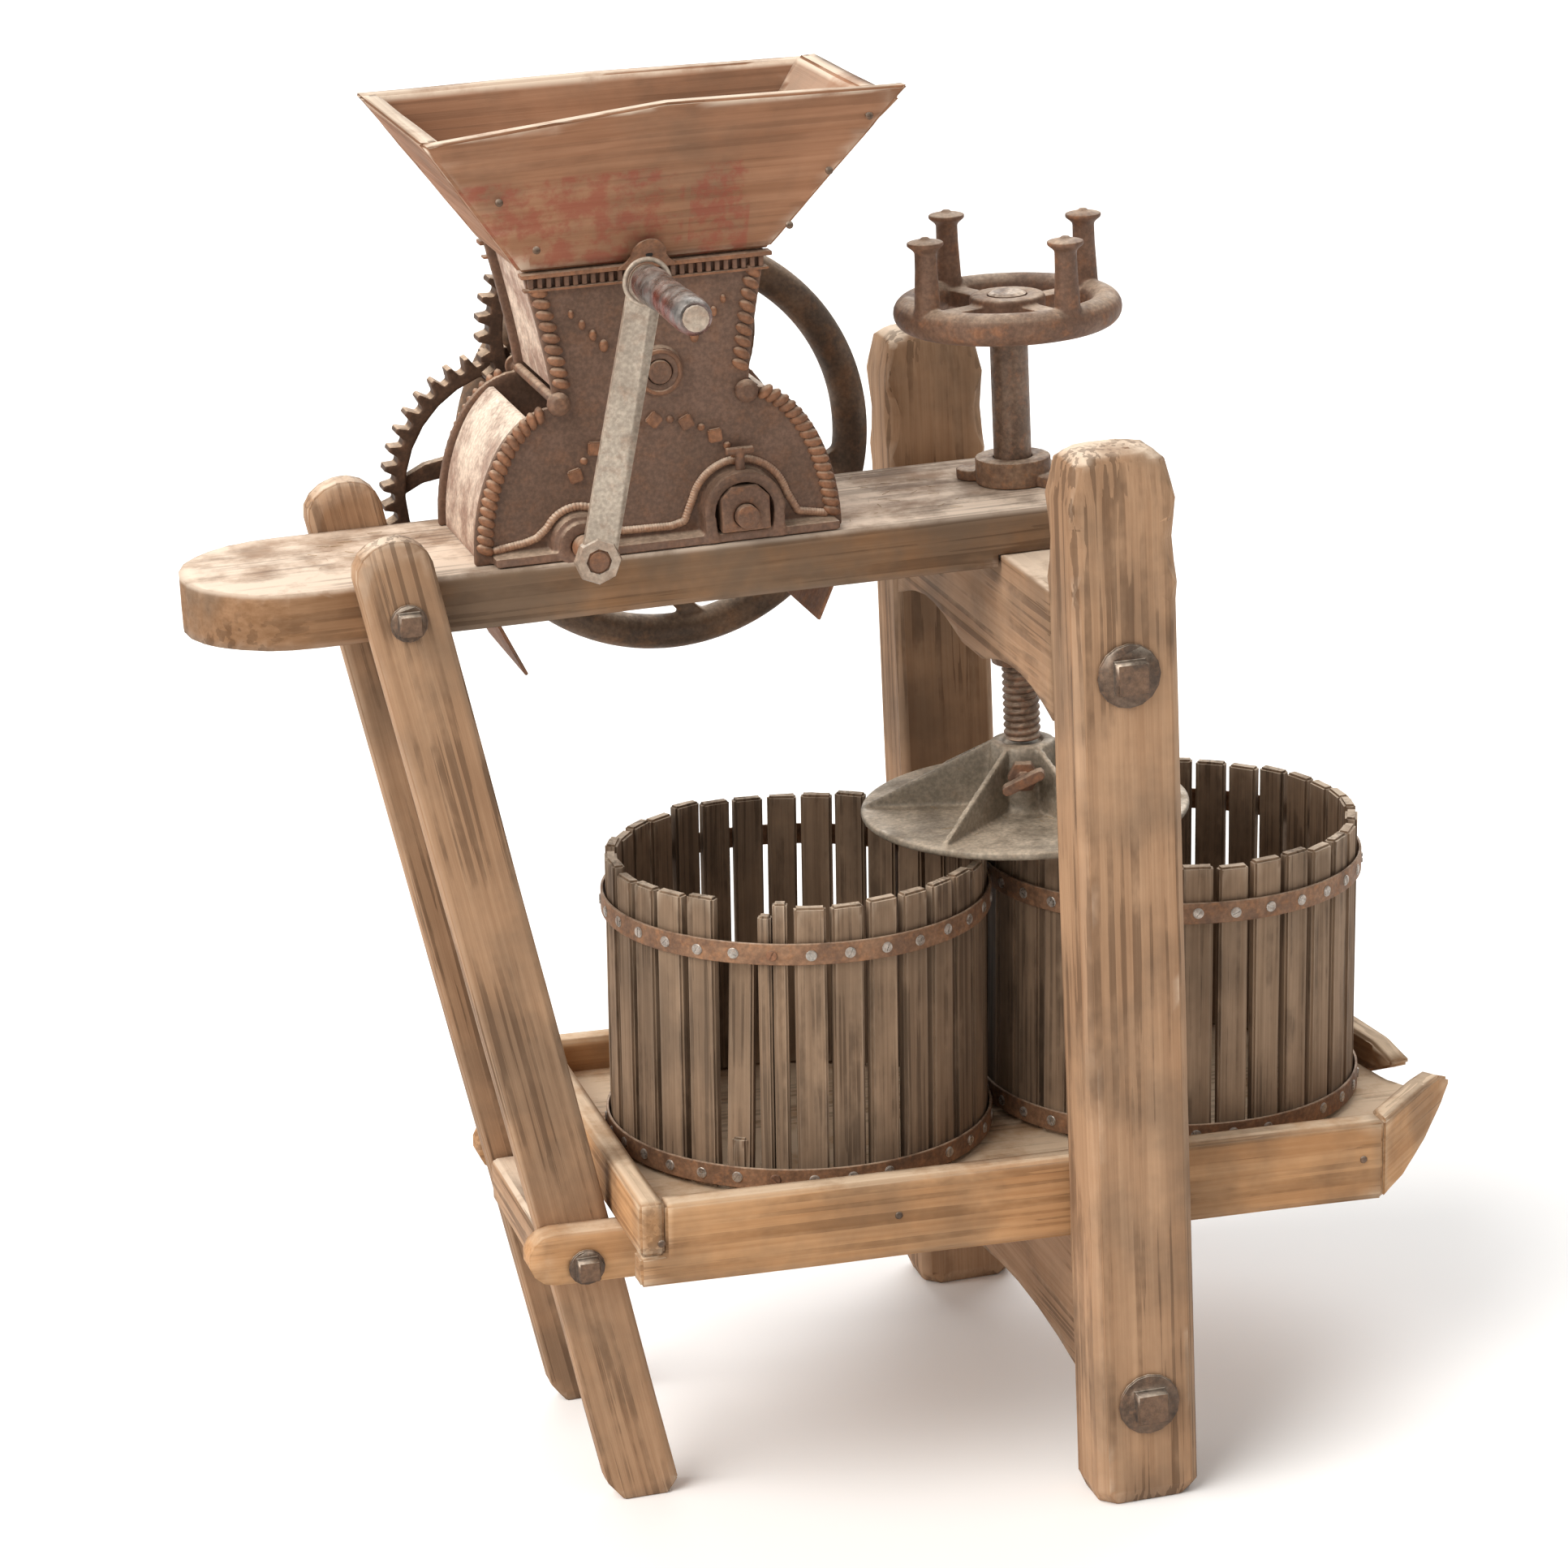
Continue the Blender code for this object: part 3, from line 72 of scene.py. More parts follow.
level = math.cos(ELEVATION)
away = Vector((math.sin(AZIMUTH) * level, -math.cos(AZIMUTH) * level, math.sin(ELEVATION)))
camera_data = bpy.data.cameras.new("camera")
camera_data.angle = VIEW_ANGLE
camera = bpy.data.objects.new("camera", camera_data)
bpy.context.scene.collection.objects.link(camera)
facing = (-away).to_track_quat("-Z", "Y").to_matrix() @ Matrix.Rotation(ROLL, 3, "Z")
camera.matrix_world = Matrix.Translation(AIM + away * DISTANCE) @ facing.to_4x4()
bpy.context.scene.camera = camera


def add_sun(name, towards, strength, softness, colour):
    """Distant lamp that shines from the given direction."""
    lamp = bpy.data.lights.new(name, "SUN")
    lamp.energy = strength
    lamp.angle = math.radians(softness)
    lamp.color = colour
    sun = bpy.data.objects.new(name, lamp)
    sun.rotation_euler = Vector(towards).to_track_quat("Z", "Y").to_euler()
    bpy.context.scene.collection.objects.link(sun)


add_sun("window_sun", (-0.78, -0.30, 0.75), 3.3, 50, (1.0, 0.97, 0.93))
add_sun("back_sun", (0.35, 0.85, 0.80), 1.8, 60, (1.0, 1.0, 1.0))
world = bpy.data.worlds.new("room")
bpy.context.scene.world = world
world.use_nodes = True
sky = world.node_tree.nodes["Background"]
sky.inputs["Color"].default_value = (1.0, 0.985, 0.96, 1.0)
sky.inputs["Strength"].default_value = 0.55
bpy.context.scene.view_settings.view_transform = "Standard"

FLOOR_HALF = 30.0
floor_mesh = bpy.data.meshes.new("floor")
floor_mesh.from_pydata([(-FLOOR_HALF, -FLOOR_HALF, 0), (FLOOR_HALF, -FLOOR_HALF, 0),
                        (FLOOR_HALF, FLOOR_HALF, 0), (-FLOOR_HALF, FLOOR_HALF, 0)], [],
                       [(0, 1, 2, 3)])
floor = bpy.data.objects.new("floor", floor_mesh)
bpy.context.scene.collection.objects.link(floor)
pale = bpy.data.materials.new("pale_floor")
pale.use_nodes = True
pale.node_tree.nodes["Principled BSDF"].inputs["Base Color"].default_value = (0.93, 0.93, 0.93, 1)
pale.node_tree.nodes["Principled BSDF"].inputs["Roughness"].default_value = 0.9
floor_mesh.materials.append(pale)
print("camera at", [round(v, 3) for v in camera.location])

# %% [markdown]
# ## Small helpers for node trees
# Materials and Geometry Nodes trees are both made of nodes and links. One function adds a node
# and connects or sets its inputs, so that a whole tree reads as a short list of steps.


# %% Node helpers
def add_node(tree, kind, settings=None, inputs=None):
    """Add a node; settings are its properties, inputs are values or other nodes' sockets."""
    made = tree.nodes.new(kind)
    for key, value in (settings or {}).items():
        setattr(made, key, value)
    for key, value in (inputs or {}).items():
        socket = made.inputs[key]
        if isinstance(value, bpy.types.NodeSocket):
            tree.links.new(value, socket)
        else:
            socket.default_value = value
    return made


def maths(tree, operation, first, second=0.5):
    """Result of one sum on values or sockets, kept between 0 and 1."""
    made = add_node(tree, "ShaderNodeMath", {"operation": operation, "use_clamp": True},
                    {0: first, 1: second})
    return made.outputs[0]


def between(tree, value, low, high, start=0.0, end=1.0):
    """Smooth rise from start to end while the value goes from low to high."""
    made = add_node(tree, "ShaderNodeMapRange", {"interpolation_type": "SMOOTHSTEP"},
                    {"Value": value, "From Min": low, "From Max": high, "To Min": start,
                     "To Max": end})
    return made.outputs["Result"]


def mixed(tree, factor, first, second, blend="MIX"):
    """Two colours mixed by a factor."""
    made = add_node(tree, "ShaderNodeMix", {"data_type": "RGBA", "blend_type": blend},
                    {0: factor, 6: first, 7: second})
    return made.outputs[2]


def grainy(tree, vector, scale, detail=6.0, roughness=0.6, stretch=(1, 1, 1)):
    """Noise between 0 and 1 on a stretched vector."""
    squeezed = add_node(tree, "ShaderNodeVectorMath", {"operation": "MULTIPLY"},
                        {0: vector, 1: stretch})
    made = add_node(tree, "ShaderNodeTexNoise", {},
                    {"Vector": squeezed.outputs[0], "Scale": scale, "Detail": detail,
                     "Roughness": roughness})
    return made.outputs["Fac"]


def new_group(name, inputs, outputs):
    """Empty shader node group with named sockets: (name, kind, default) and (name, kind)."""
    tree = bpy.data.node_groups.new(name, "ShaderNodeTree")
    for socket_name, kind, default in inputs:
        made = tree.interface.new_socket(socket_name, in_out="INPUT", socket_type=kind)
        if default is not None:
            made.default_value = default
    for socket_name, kind in outputs:
        tree.interface.new_socket(socket_name, in_out="OUTPUT", socket_type=kind)
    return tree, tree.nodes.new("NodeGroupInput"), tree.nodes.new("NodeGroupOutput")


FLOAT, VECTOR = "NodeSocketFloat", "NodeSocketVector"

# %% [markdown]
# ## What a hundred years leave: dust and worn edges
# Dust settles on what faces up, in drifts. Edges lose their paint first. Both masks depend only
# on the shape, so one node group gives them to every material. The surface's own normal is
# read, not the world's, so the dust stays where it settled when a wheel turns.


# %% Weathering group
weathering, given, result = new_group(
    "weathering",
    [("Drift Scale", FLOAT, 14.0), ("Dust Start", FLOAT, 0.45), ("Edge Start", FLOAT, 0.53)],
    [("Dust", FLOAT), ("Edge", FLOAT), ("Patches", FLOAT), ("Pits", FLOAT)])
place = weathering.nodes.new("ShaderNodeTexCoord")
up = add_node(weathering, "ShaderNodeSeparateXYZ", {}, {0: place.outputs["Normal"]}).outputs["Z"]
drift = grainy(weathering, place.outputs["Object"], given.outputs["Drift Scale"], 8, 0.65)
fine = grainy(weathering, place.outputs["Object"], 260.0, 3, 0.6)
upward = between(weathering, up, given.outputs["Dust Start"], 0.98)
drifted = between(weathering, drift, 0.34, 0.62)
dusty = maths(weathering, "MULTIPLY", upward, maths(weathering, "ADD", drifted, 0.25))
shape = weathering.nodes.new("ShaderNodeNewGeometry")
edge = between(weathering, shape.outputs["Pointiness"], given.outputs["Edge Start"], 0.60)
worn = maths(weathering, "MULTIPLY", edge, between(weathering, drift, 0.30, 0.55))
weathering.links.new(dusty, result.inputs["Dust"])
weathering.links.new(worn, result.inputs["Edge"])
weathering.links.new(between(weathering, drift, 0.40, 0.64), result.inputs["Patches"])
weathering.links.new(fine, result.inputs["Pits"])
print("group:", weathering.name)

# %% [markdown]
# ## Wood
# Every board carries an attribute called grain: its own coordinates, along, across and through
# the wood, shifted so that no two boards look alike. Noise that is stretched along the first of
# them makes fibres, the low half of a coarser noise makes dark splits where the wood is stained,
# and slow noise makes the stains.


# %% Wood group and materials
fibre_group, given, result = new_group(
    "wood_fibres",
    [("Vector", VECTOR, None), ("Crack", FLOAT, 0.5), ("Fineness", FLOAT, 1.0)],
    [("Fibre", FLOAT), ("Cracks", FLOAT), ("Stains", FLOAT), ("Height", FLOAT)])
scaled = add_node(fibre_group, "ShaderNodeVectorMath", {"operation": "SCALE"},
                  {0: given.outputs["Vector"], "Scale": given.outputs["Fineness"]}).outputs[0]
threads = grainy(fibre_group, scaled, 9.0, 7, 0.62, (0.5, 26, 26))
bands = grainy(fibre_group, scaled, 5.0, 3, 0.5, (0.5, 11, 5))
splits = grainy(fibre_group, scaled, 6.0, 3, 0.5, (0.35, 26, 18))
stains = grainy(fibre_group, scaled, 7.0, 5, 0.6, (0.8, 1.6, 1.6))
above_split = maths(fibre_group, "SUBTRACT", splits, 0.47)
opening = between(fibre_group, above_split, 0.0, 0.0035, 1.0, 0.0)
rare = between(fibre_group, stains, 0.40, 0.58)
cracks = maths(fibre_group, "MULTIPLY", maths(fibre_group, "MULTIPLY", opening, rare),
               given.outputs["Crack"])
fibre = maths(fibre_group, "ADD", maths(fibre_group, "MULTIPLY", threads, 0.6),
              maths(fibre_group, "MULTIPLY", bands, 0.4))
height = maths(fibre_group, "SUBTRACT", fibre, maths(fibre_group, "MULTIPLY", cracks, 0.8))
fibre_group.links.new(between(fibre_group, fibre, 0.30, 0.70), result.inputs["Fibre"])
fibre_group.links.new(cracks, result.inputs["Cracks"])
fibre_group.links.new(between(fibre_group, stains, 0.36, 0.66), result.inputs["Stains"])
fibre_group.links.new(height, result.inputs["Height"])


def new_material(name):
    """Empty material with its Principled shader."""
    made = bpy.data.materials.new(name)
    made.use_nodes = True
    return made, made.node_tree, made.node_tree.nodes["Principled BSDF"]


def wood(name, dark, middle, light, dust, crack=0.8, dust_start=0.5, fineness=1.0, edge=0.5,
         grimy=0.45):
    """Weathered wood in three tones, with cracks, stains, grime, pale worn edges and dust."""
    made, tree, shader = new_material(name)
    grain = add_node(tree, "ShaderNodeAttribute", {"attribute_name": "grain"})
    fibres = add_node(tree, "ShaderNodeGroup", {"node_tree": fibre_group},
                      {"Vector": grain.outputs["Vector"], "Crack": crack, "Fineness": fineness})
    age = add_node(tree, "ShaderNodeGroup", {"node_tree": weathering},
                   {"Drift Scale": 11.0, "Dust Start": dust_start, "Edge Start": 0.52})
    body = mixed(tree, fibres.outputs["Fibre"], (*dark, 1), (*light, 1))
    body = mixed(tree, 0.60, body, (*middle, 1))
    stained = mixed(tree, maths(tree, "MULTIPLY", fibres.outputs["Stains"], 0.42), body, (*dark, 1))
    place = tree.nodes.new("ShaderNodeTexCoord")
    grime = between(tree, grainy(tree, place.outputs["Object"], 6.5, 5, 0.62), 0.42, 0.66, 0.0, grimy)
    stained = mixed(tree, grime, stained, (0.115, 0.082, 0.056, 1))
    pale_edge = mixed(tree, maths(tree, "MULTIPLY", age.outputs["Edge"], edge), stained, (*dust, 1))
    dusted = mixed(tree, maths(tree, "MULTIPLY", age.outputs["Dust"], 0.85), pale_edge, (*dust, 1))
    split = mixed(tree, fibres.outputs["Cracks"], dusted,
                  (dark[0] * 0.25, dark[1] * 0.22, dark[2] * 0.2, 1))
    tree.links.new(split, shader.inputs["Base Color"])
    tree.links.new(between(tree, fibres.outputs["Fibre"], 0, 1, 0.92, 0.74),
                   shader.inputs["Roughness"])
    bump = add_node(tree, "ShaderNodeBump", {}, {"Strength": 0.55, "Distance": 0.0014,
                                                 "Height": fibres.outputs["Height"]})
    tree.links.new(bump.outputs[0], shader.inputs["Normal"])
    shader.inputs["Specular IOR Level"].default_value = 0.25
    return made


frame_wood = wood("weathered_post_wood", (0.205, 0.112, 0.060), (0.385, 0.225, 0.128),
                  (0.52, 0.335, 0.20), (0.78, 0.64, 0.50), crack=0.5)
plank_wood = wood("dusty_plank_wood", (0.13, 0.062, 0.026), (0.25, 0.130, 0.062),
                  (0.38, 0.225, 0.125), (0.80, 0.66, 0.53), crack=0.35, dust_start=0.3, grimy=0.75)
tray_wood = wood("orange_tray_wood", (0.25, 0.115, 0.046), (0.50, 0.265, 0.120),
                 (0.64, 0.40, 0.21), (0.72, 0.56, 0.40), crack=0.35)
hopper_wood = wood("varnished_hopper_wood", (0.175, 0.080, 0.042), (0.345, 0.165, 0.088),
                   (0.44, 0.245, 0.145), (0.74, 0.61, 0.48), crack=0.2, fineness=0.8, edge=0.9)
slat_wood = wood("dark_slat_wood", (0.105, 0.066, 0.041), (0.255, 0.165, 0.103),
                 (0.40, 0.275, 0.18), (0.64, 0.52, 0.40), crack=0.45, fineness=1.5, edge=0.45)
print("woods:", [m.name for m in bpy.data.materials if m.name.endswith("wood")])

# %% [markdown]
# ## Iron
# The castings were painted once. Now the paint is dull, rust shows along every edge and in
# patches, and pale dust lies on top. The same steps with other colours and amounts give painted
# plates, bare rusty shafts, the grey press plate and the zinc-coated crank arm.


# %% Iron materials
def iron(name, base, patch, rust, dust, rusting=0.6, dusting=0.8, dust_start=0.35, scale=16.0,
         metallic=0.25, roughness=0.68, pitted=0.35):
    """Old iron: a base tone with patches, rusty edges, pits and drifts of dust."""
    made, tree, shader = new_material(name)
    age = add_node(tree, "ShaderNodeGroup", {"node_tree": weathering},
                   {"Drift Scale": scale, "Dust Start": dust_start, "Edge Start": 0.51})
    place = tree.nodes.new("ShaderNodeTexCoord")
    spots = grainy(tree, place.outputs["Object"], scale * 3.1, 9, 0.7)
    tone = mixed(tree, age.outputs["Patches"], (*base, 1), (*patch, 1))
    spotted = maths(tree, "MULTIPLY", between(tree, spots, 0.48, 0.66), rusting)
    tone = mixed(tree, spotted, tone, (*rust, 1))
    tone = mixed(tree, maths(tree, "MULTIPLY", age.outputs["Edge"], rusting), tone, (*rust, 1))
    tone = mixed(tree, maths(tree, "MULTIPLY", age.outputs["Dust"], dusting), tone, (*dust, 1))
    speckle = between(tree, age.outputs["Pits"], 0.30, 0.75, 0.72, 1.12)
    tone = mixed(tree, 1.0, tone, speckle, "MULTIPLY")
    tree.links.new(tone, shader.inputs["Base Color"])
    tree.links.new(between(tree, spots, 0.35, 0.65, roughness - 0.12, roughness + 0.14),
                   shader.inputs["Roughness"])
    tree.links.new(between(tree, spots, 0.40, 0.62, metallic, metallic * 0.2),
                   shader.inputs["Metallic"])
    lumps = maths(tree, "ADD", maths(tree, "MULTIPLY", spots, 0.6),
                  maths(tree, "MULTIPLY", age.outputs["Pits"], 0.3))
    bump = add_node(tree, "ShaderNodeBump", {}, {"Strength": pitted, "Distance": 0.0012,
                                                 "Height": lumps})
    tree.links.new(bump.outputs[0], shader.inputs["Normal"])
    return made


DUST = (0.60, 0.46, 0.34)
RUST = (0.31, 0.125, 0.052)
cheek_paint = iron("dull_casing_paint", (0.135, 0.074, 0.046), (0.175, 0.098, 0.064), RUST, DUST,
                   rusting=0.16, dusting=0.75)
moulding_rust = iron("rusty_moulding", (0.165, 0.080, 0.044), (0.26, 0.125, 0.066), RUST, DUST,
                     rusting=0.4, dusting=0.7, scale=30)
shell_dust = iron("dusty_shell_paint", (0.36, 0.225, 0.165), (0.72, 0.56, 0.44), (0.22, 0.11, 0.075),
                  (0.86, 0.74, 0.61), rusting=0.42, dusting=1.0, dust_start=0.05, scale=26)
gear_iron = iron("dark_gear_iron", (0.060, 0.030, 0.016), (0.095, 0.050, 0.028), (0.15, 0.07, 0.035),
                 (0.62, 0.45, 0.31), rusting=0.5, dusting=0.9, dust_start=0.45)
rusty_iron = iron("brown_rusty_iron", (0.135, 0.070, 0.042), (0.205, 0.112, 0.068), RUST, DUST,
                  rusting=0.5, dusting=0.7)
flywheel_rust = iron("flywheel_rust", (0.095, 0.060, 0.038), (0.19, 0.115, 0.068),
                     (0.25, 0.125, 0.060), (0.56, 0.43, 0.31), rusting=0.5, dusting=0.6)
hoop_rust = iron("hoop_rust", (0.150, 0.082, 0.048), (0.25, 0.150, 0.090), (0.33, 0.145, 0.06),
                 (0.62, 0.49, 0.37), rusting=0.5, dusting=0.6, scale=34)
plate_iron = iron("grey_plate_iron", (0.235, 0.195, 0.145), (0.34, 0.285, 0.22), (0.26, 0.17, 0.10),
                  (0.62, 0.52, 0.40), rusting=0.30, dusting=0.9, dust_start=0.4, metallic=0.35,
                  roughness=0.58)
screw_iron = iron("brown_screw_iron", (0.115, 0.070, 0.045), (0.19, 0.120, 0.080), RUST,
                  (0.56, 0.44, 0.33), rusting=0.4, dusting=0.9, dust_start=0.25, metallic=0.5,
                  roughness=0.50, scale=40)
zinc = iron("dull_zinc_coating", (0.50, 0.42, 0.335), (0.40, 0.33, 0.26), (0.26, 0.13, 0.07),
            (0.78, 0.70, 0.60), rusting=0.35, dusting=0.6, metallic=0.5, roughness=0.5, scale=30)
bright_steel = iron("worn_shaft_steel", (0.42, 0.39, 0.35), (0.55, 0.52, 0.48), (0.22, 0.13, 0.08),
                    (0.75, 0.68, 0.60), rusting=0.45, dusting=0.5, metallic=0.8, roughness=0.35,
                    scale=60)
bolt_iron = iron("dark_bolt_iron", (0.070, 0.048, 0.034), (0.12, 0.085, 0.060), (0.20, 0.10, 0.05),
                 (0.62, 0.53, 0.43), rusting=0.5, dusting=0.9, dust_start=0.2, metallic=0.5,
                 roughness=0.5, scale=44)
print("irons:", len(bpy.data.materials))

# %% [markdown]
# ## Helpers for solid pieces
# The outlines here are short lists of points, arcs or formulas, pushed out into prisms or spun
# into round bodies. Each finished piece takes its material, its body and the CAD nodes that it
# stands for in one call.


# %% Shape helpers
def at(axis, a, b, along):
    """Point whose place on the named axis is along, and a, b on the other two."""
    return {"X": (along, a, b), "Y": (a, along, b), "Z": (a, b, along)}[axis]


def prism(bm, outline, axis, start, end):
    """Add a closed prism with the outline of (a, b) points."""
    low = [bm.verts.new(at(axis, a, b, start)) for a, b in outline]
    high = [bm.verts.new(at(axis, a, b, end)) for a, b in outline]
    bm.faces.new(low)
    bm.faces.new(high[::-1])
    for i in range(len(outline)):
        j = (i + 1) % len(outline)
        bm.faces.new((low[i], low[j], high[j], high[i]))
    return bm


def turned(bm, profile, segments, axis="Z", centre=(0, 0, 0), closed=False):
    """Add a body of revolution from (radius, along) points; a closed profile makes a ring."""
    rows = []
    for radius, along in profile:
        if radius == 0:
            rows.append([bm.verts.new(Vector(centre) + Vector(at(axis, 0, 0, along)))])
            continue
        turns = [math.tau * k / segments for k in range(segments)]
        rows.append([bm.verts.new(Vector(centre) + Vector(at(axis, radius * math.cos(t),
                                                             radius * math.sin(t), along)))
                     for t in turns])
    pairs = list(zip(rows, rows[1:])) + ([(rows[-1], rows[0])] if closed else [])
    for lower, upper in pairs:
        for k in range(segments):
            n = (k + 1) % segments
            corners = [lower[k % len(lower)], lower[n % len(lower)],
                       upper[n % len(upper)], upper[k % len(upper)]]
            unique = list(dict.fromkeys(corners))
            if len(unique) > 2:
                bm.faces.new(unique)
    return bm


def rod(bm, radius, axis, start, end, centre, segments=32, chamfer=0.0008):
    """Add a round bar with chamfered ends; centre gives its place on the other two axes."""
    profile = [(0, start), (radius - chamfer, start), (radius, start + chamfer),
               (radius, end - chamfer), (radius - chamfer, end), (0, end)]
    return turned(bm, profile, segments, axis, at(axis, centre[0], centre[1], 0))


def ring(bm, major, minor, axis, along, centre=(0, 0), around=96, section=20):
    """Add a round rim about an axis."""
    profile = [(major + minor * math.cos(math.tau * k / section),
                along + minor * math.sin(math.tau * k / section)) for k in range(section)]
    return turned(bm, profile, around, axis, at(axis, centre[0], centre[1], 0), closed=True)


def arc(centre, radius, start, end, steps):
    """Points on a circular arc, in degrees."""
    angles = [math.radians(start + (end - start) * k / steps) for k in range(steps + 1)]
    return [(centre[0] + radius * math.cos(a), centre[1] + radius * math.sin(a)) for a in angles]


def block(bm, x, y, z):
    """Add a box between two values on each axis."""
    return prism(bm, [(x[0], y[0]), (x[1], y[0]), (x[1], y[1]), (x[0], y[1])], "Z", z[0], z[1])


def centre_of(node):
    """Middle of a CAD node's box."""
    low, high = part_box(node)
    return (low + high) / 2


def dress(piece, material, body, nodes=(), smooth=35):
    """Give a finished object its material, smooth shading, body and the nodes it replaces."""
    piece.data.materials.clear()
    piece.data.materials.append(material)
    piece.data.shade_smooth()
    piece.data.set_sharp_from_angle(angle=math.radians(smooth))
    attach(piece, body)
    if nodes:
        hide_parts(*nodes)
    return piece


def piece_from(name, bm):
    """Object with the shape's mesh, its faces pointing outwards, at the origin."""
    bmesh.ops.recalc_face_normals(bm, faces=bm.faces[:])
    mesh = bpy.data.meshes.new(name)
    bm.to_mesh(mesh)
    bm.free()
    made = bpy.data.objects.new(name, mesh)
    bpy.context.scene.collection.objects.link(made)
    return made


def settle(piece):
    """Turn the piece's live modifiers into its plain mesh."""
    bpy.context.view_layer.update()
    ready = piece.evaluated_get(bpy.context.evaluated_depsgraph_get())
    mesh = bpy.data.meshes.new_from_object(ready)
    piece.modifiers.clear()
    piece.data = mesh
    return piece


def cast(name, bm, voxel, soften=3):
    """Melt overlapping shapes into one casting with small fillets, as from a sand mould."""
    made = piece_from(name, bm)
    melt = made.modifiers.new("melt", "REMESH")
    melt.mode = "VOXEL"
    melt.voxel_size = voxel
    soft = made.modifiers.new("soften", "SMOOTH")
    soft.factor = 0.5
    soft.iterations = soften
    settle(made)
    print("cast", name, len(made.data.polygons), "faces")
    return made


# %% [markdown]
# ## Boards
# A board starts as a copy of its CAD solid. Its sharp edges are rounded, it is sliced into
# small faces, and every point sinks a little by noise that is stretched along the fibres. The
# slices also carry the grain attribute that the wood material reads.


# %% Weathered boards
def board_frame(bm, along):
    """Directions along, across and through a board, from its largest lengthwise face."""
    u = Vector(along).normalized()
    flats = [f for f in bm.faces if abs(f.normal.dot(u)) < 0.3]
    w = max(flats, key=lambda f: f.calc_area()).normal.copy()
    w = (w - u * w.dot(u)).normalized()
    return u, w.cross(u).normalized(), w


def slice_up(bm, direction, step):
    """Cut the shape by parallel planes at even distances."""
    reach = [v.co.dot(direction) for v in bm.verts]
    low, high = min(reach), max(reach)
    count = int((high - low) / step)
    for k in range(1, count + 1):
        spot = direction * (low + (high - low) * k / (count + 1))
        bmesh.ops.bisect_plane(bm, geom=bm.verts[:] + bm.edges[:] + bm.faces[:], dist=1e-6,
                               plane_co=spot, plane_no=direction)


def weather(bm, axes, seed, depth=0.0007, sag=0.0012):
    """Sink the points by fibre-like noise, and return the grain coordinates of each point."""
    u, v, w = axes
    shift = Vector((seed * 1.37, seed * 0.73, seed * 2.11))
    bm.normal_update()
    grain = []
    moved = []
    for vert in bm.verts:
        local = Vector((vert.co.dot(u), vert.co.dot(v), vert.co.dot(w))) + shift
        fibre = noise.fractal(Vector((local.x * 5, local.y * 120, local.z * 120)), 1.0, 2.0, 3)
        broad = noise.noise(Vector((local.x * 7, local.y * 22, local.z * 22)))
        sink = depth * (0.5 + 0.5 * fibre) + sag * max(0.0, broad)
        grain.append(local)
        moved.append(vert.co - vert.normal * sink)
    for vert, spot in zip(bm.verts, moved):
        vert.co = spot
    return grain


def add_grain(piece, grain):
    """Store the grain coordinates on the piece's points."""
    store = piece.data.attributes.new("grain", "FLOAT_VECTOR", "POINT")
    store.data.foreach_set("vector", [c for g in grain for c in g])


def board(node, along, material, seed, body="frame", round_off=0.0025, steps=(0.016, 0.009)):
    """Weathered board that stands for a CAD node."""
    bm = bmesh.new()
    bm.from_mesh(frame["nodes"][node].data)
    bmesh.ops.remove_doubles(bm, verts=bm.verts[:], dist=1e-5)
    bmesh.ops.dissolve_limit(bm, angle_limit=math.radians(1), verts=bm.verts[:], edges=bm.edges[:])
    axes = board_frame(bm, along)
    sharp = [e for e in bm.edges if len(e.link_faces) == 2 and e.calc_face_angle() > math.radians(35)]
    bmesh.ops.bevel(bm, geom=sharp, offset=round_off, segments=2, affect="EDGES",
                    clamp_overlap=True)
    slice_up(bm, axes[0], steps[0])
    slice_up(bm, axes[1], steps[1])
    slice_up(bm, axes[2], steps[1])
    bmesh.ops.triangulate(bm, faces=[f for f in bm.faces if len(f.verts) > 4])
    grain = weather(bm, axes, seed)
    made = piece_from(node + "_wood", bm)
    add_grain(made, grain)
    dress(made, material, body, [node])
    return made


LEG_LEAN, TRAY_TILT = math.radians(10.6), math.radians(1.9)
LEG_AXIS = (math.sin(LEG_LEAN), 0, -math.cos(LEG_LEAN))
TRAY_AXIS = (math.cos(TRAY_TILT), 0, -math.sin(TRAY_TILT))
BOARDS = [
    (("post_front", "post_back"), (0, 0, 1), frame_wood, "frame_wood"),
    (("crosshead", "lower_stretcher", "cross_bar"), (0, 1, 0), frame_wood, "frame_wood"),
    (("plank",), (1, 0, 0), plank_wood, "frame_wood"),
    (("leg_front", "leg_back"), LEG_AXIS, frame_wood, "frame_wood"),
    (("rail_front", "rail_back", "tray_side_front", "tray_side_back", "tray_floor"), TRAY_AXIS,
     tray_wood, "tray_wood"),
    (("tray_end",), (0, 1, 0), tray_wood, "tray_wood"),
    (("spout_board_front",), (0.69, 0.72, 0), tray_wood, "tray_wood"),
    (("spout_board_back",), (0.17, -0.98, 0), tray_wood, "tray_wood"),
    (("hopper_board_front", "hopper_board_back"), (1, 0, 0), hopper_wood, "hopper_wood"),
    (("hopper_board_left", "hopper_board_right"), (0, 1, 0), hopper_wood, "hopper_wood"),
]
seed = 0
for nodes, along, material, slot in BOARDS:
    for node in nodes:
        seed += 1
        made = board(node, along, material, seed)
        print(made.name, len(made.data.polygons), "faces")

# %% [markdown]
# ## The mill casing
# Each cheek is one casting: a plate whose sides narrow over a round drum, a foot flange, a boss
# for the crank shaft, a ring for the feed roller and an arched housing that holds the flywheel's
# bearing. The shapes overlap and are melted together, which leaves the fillets of a real casting.

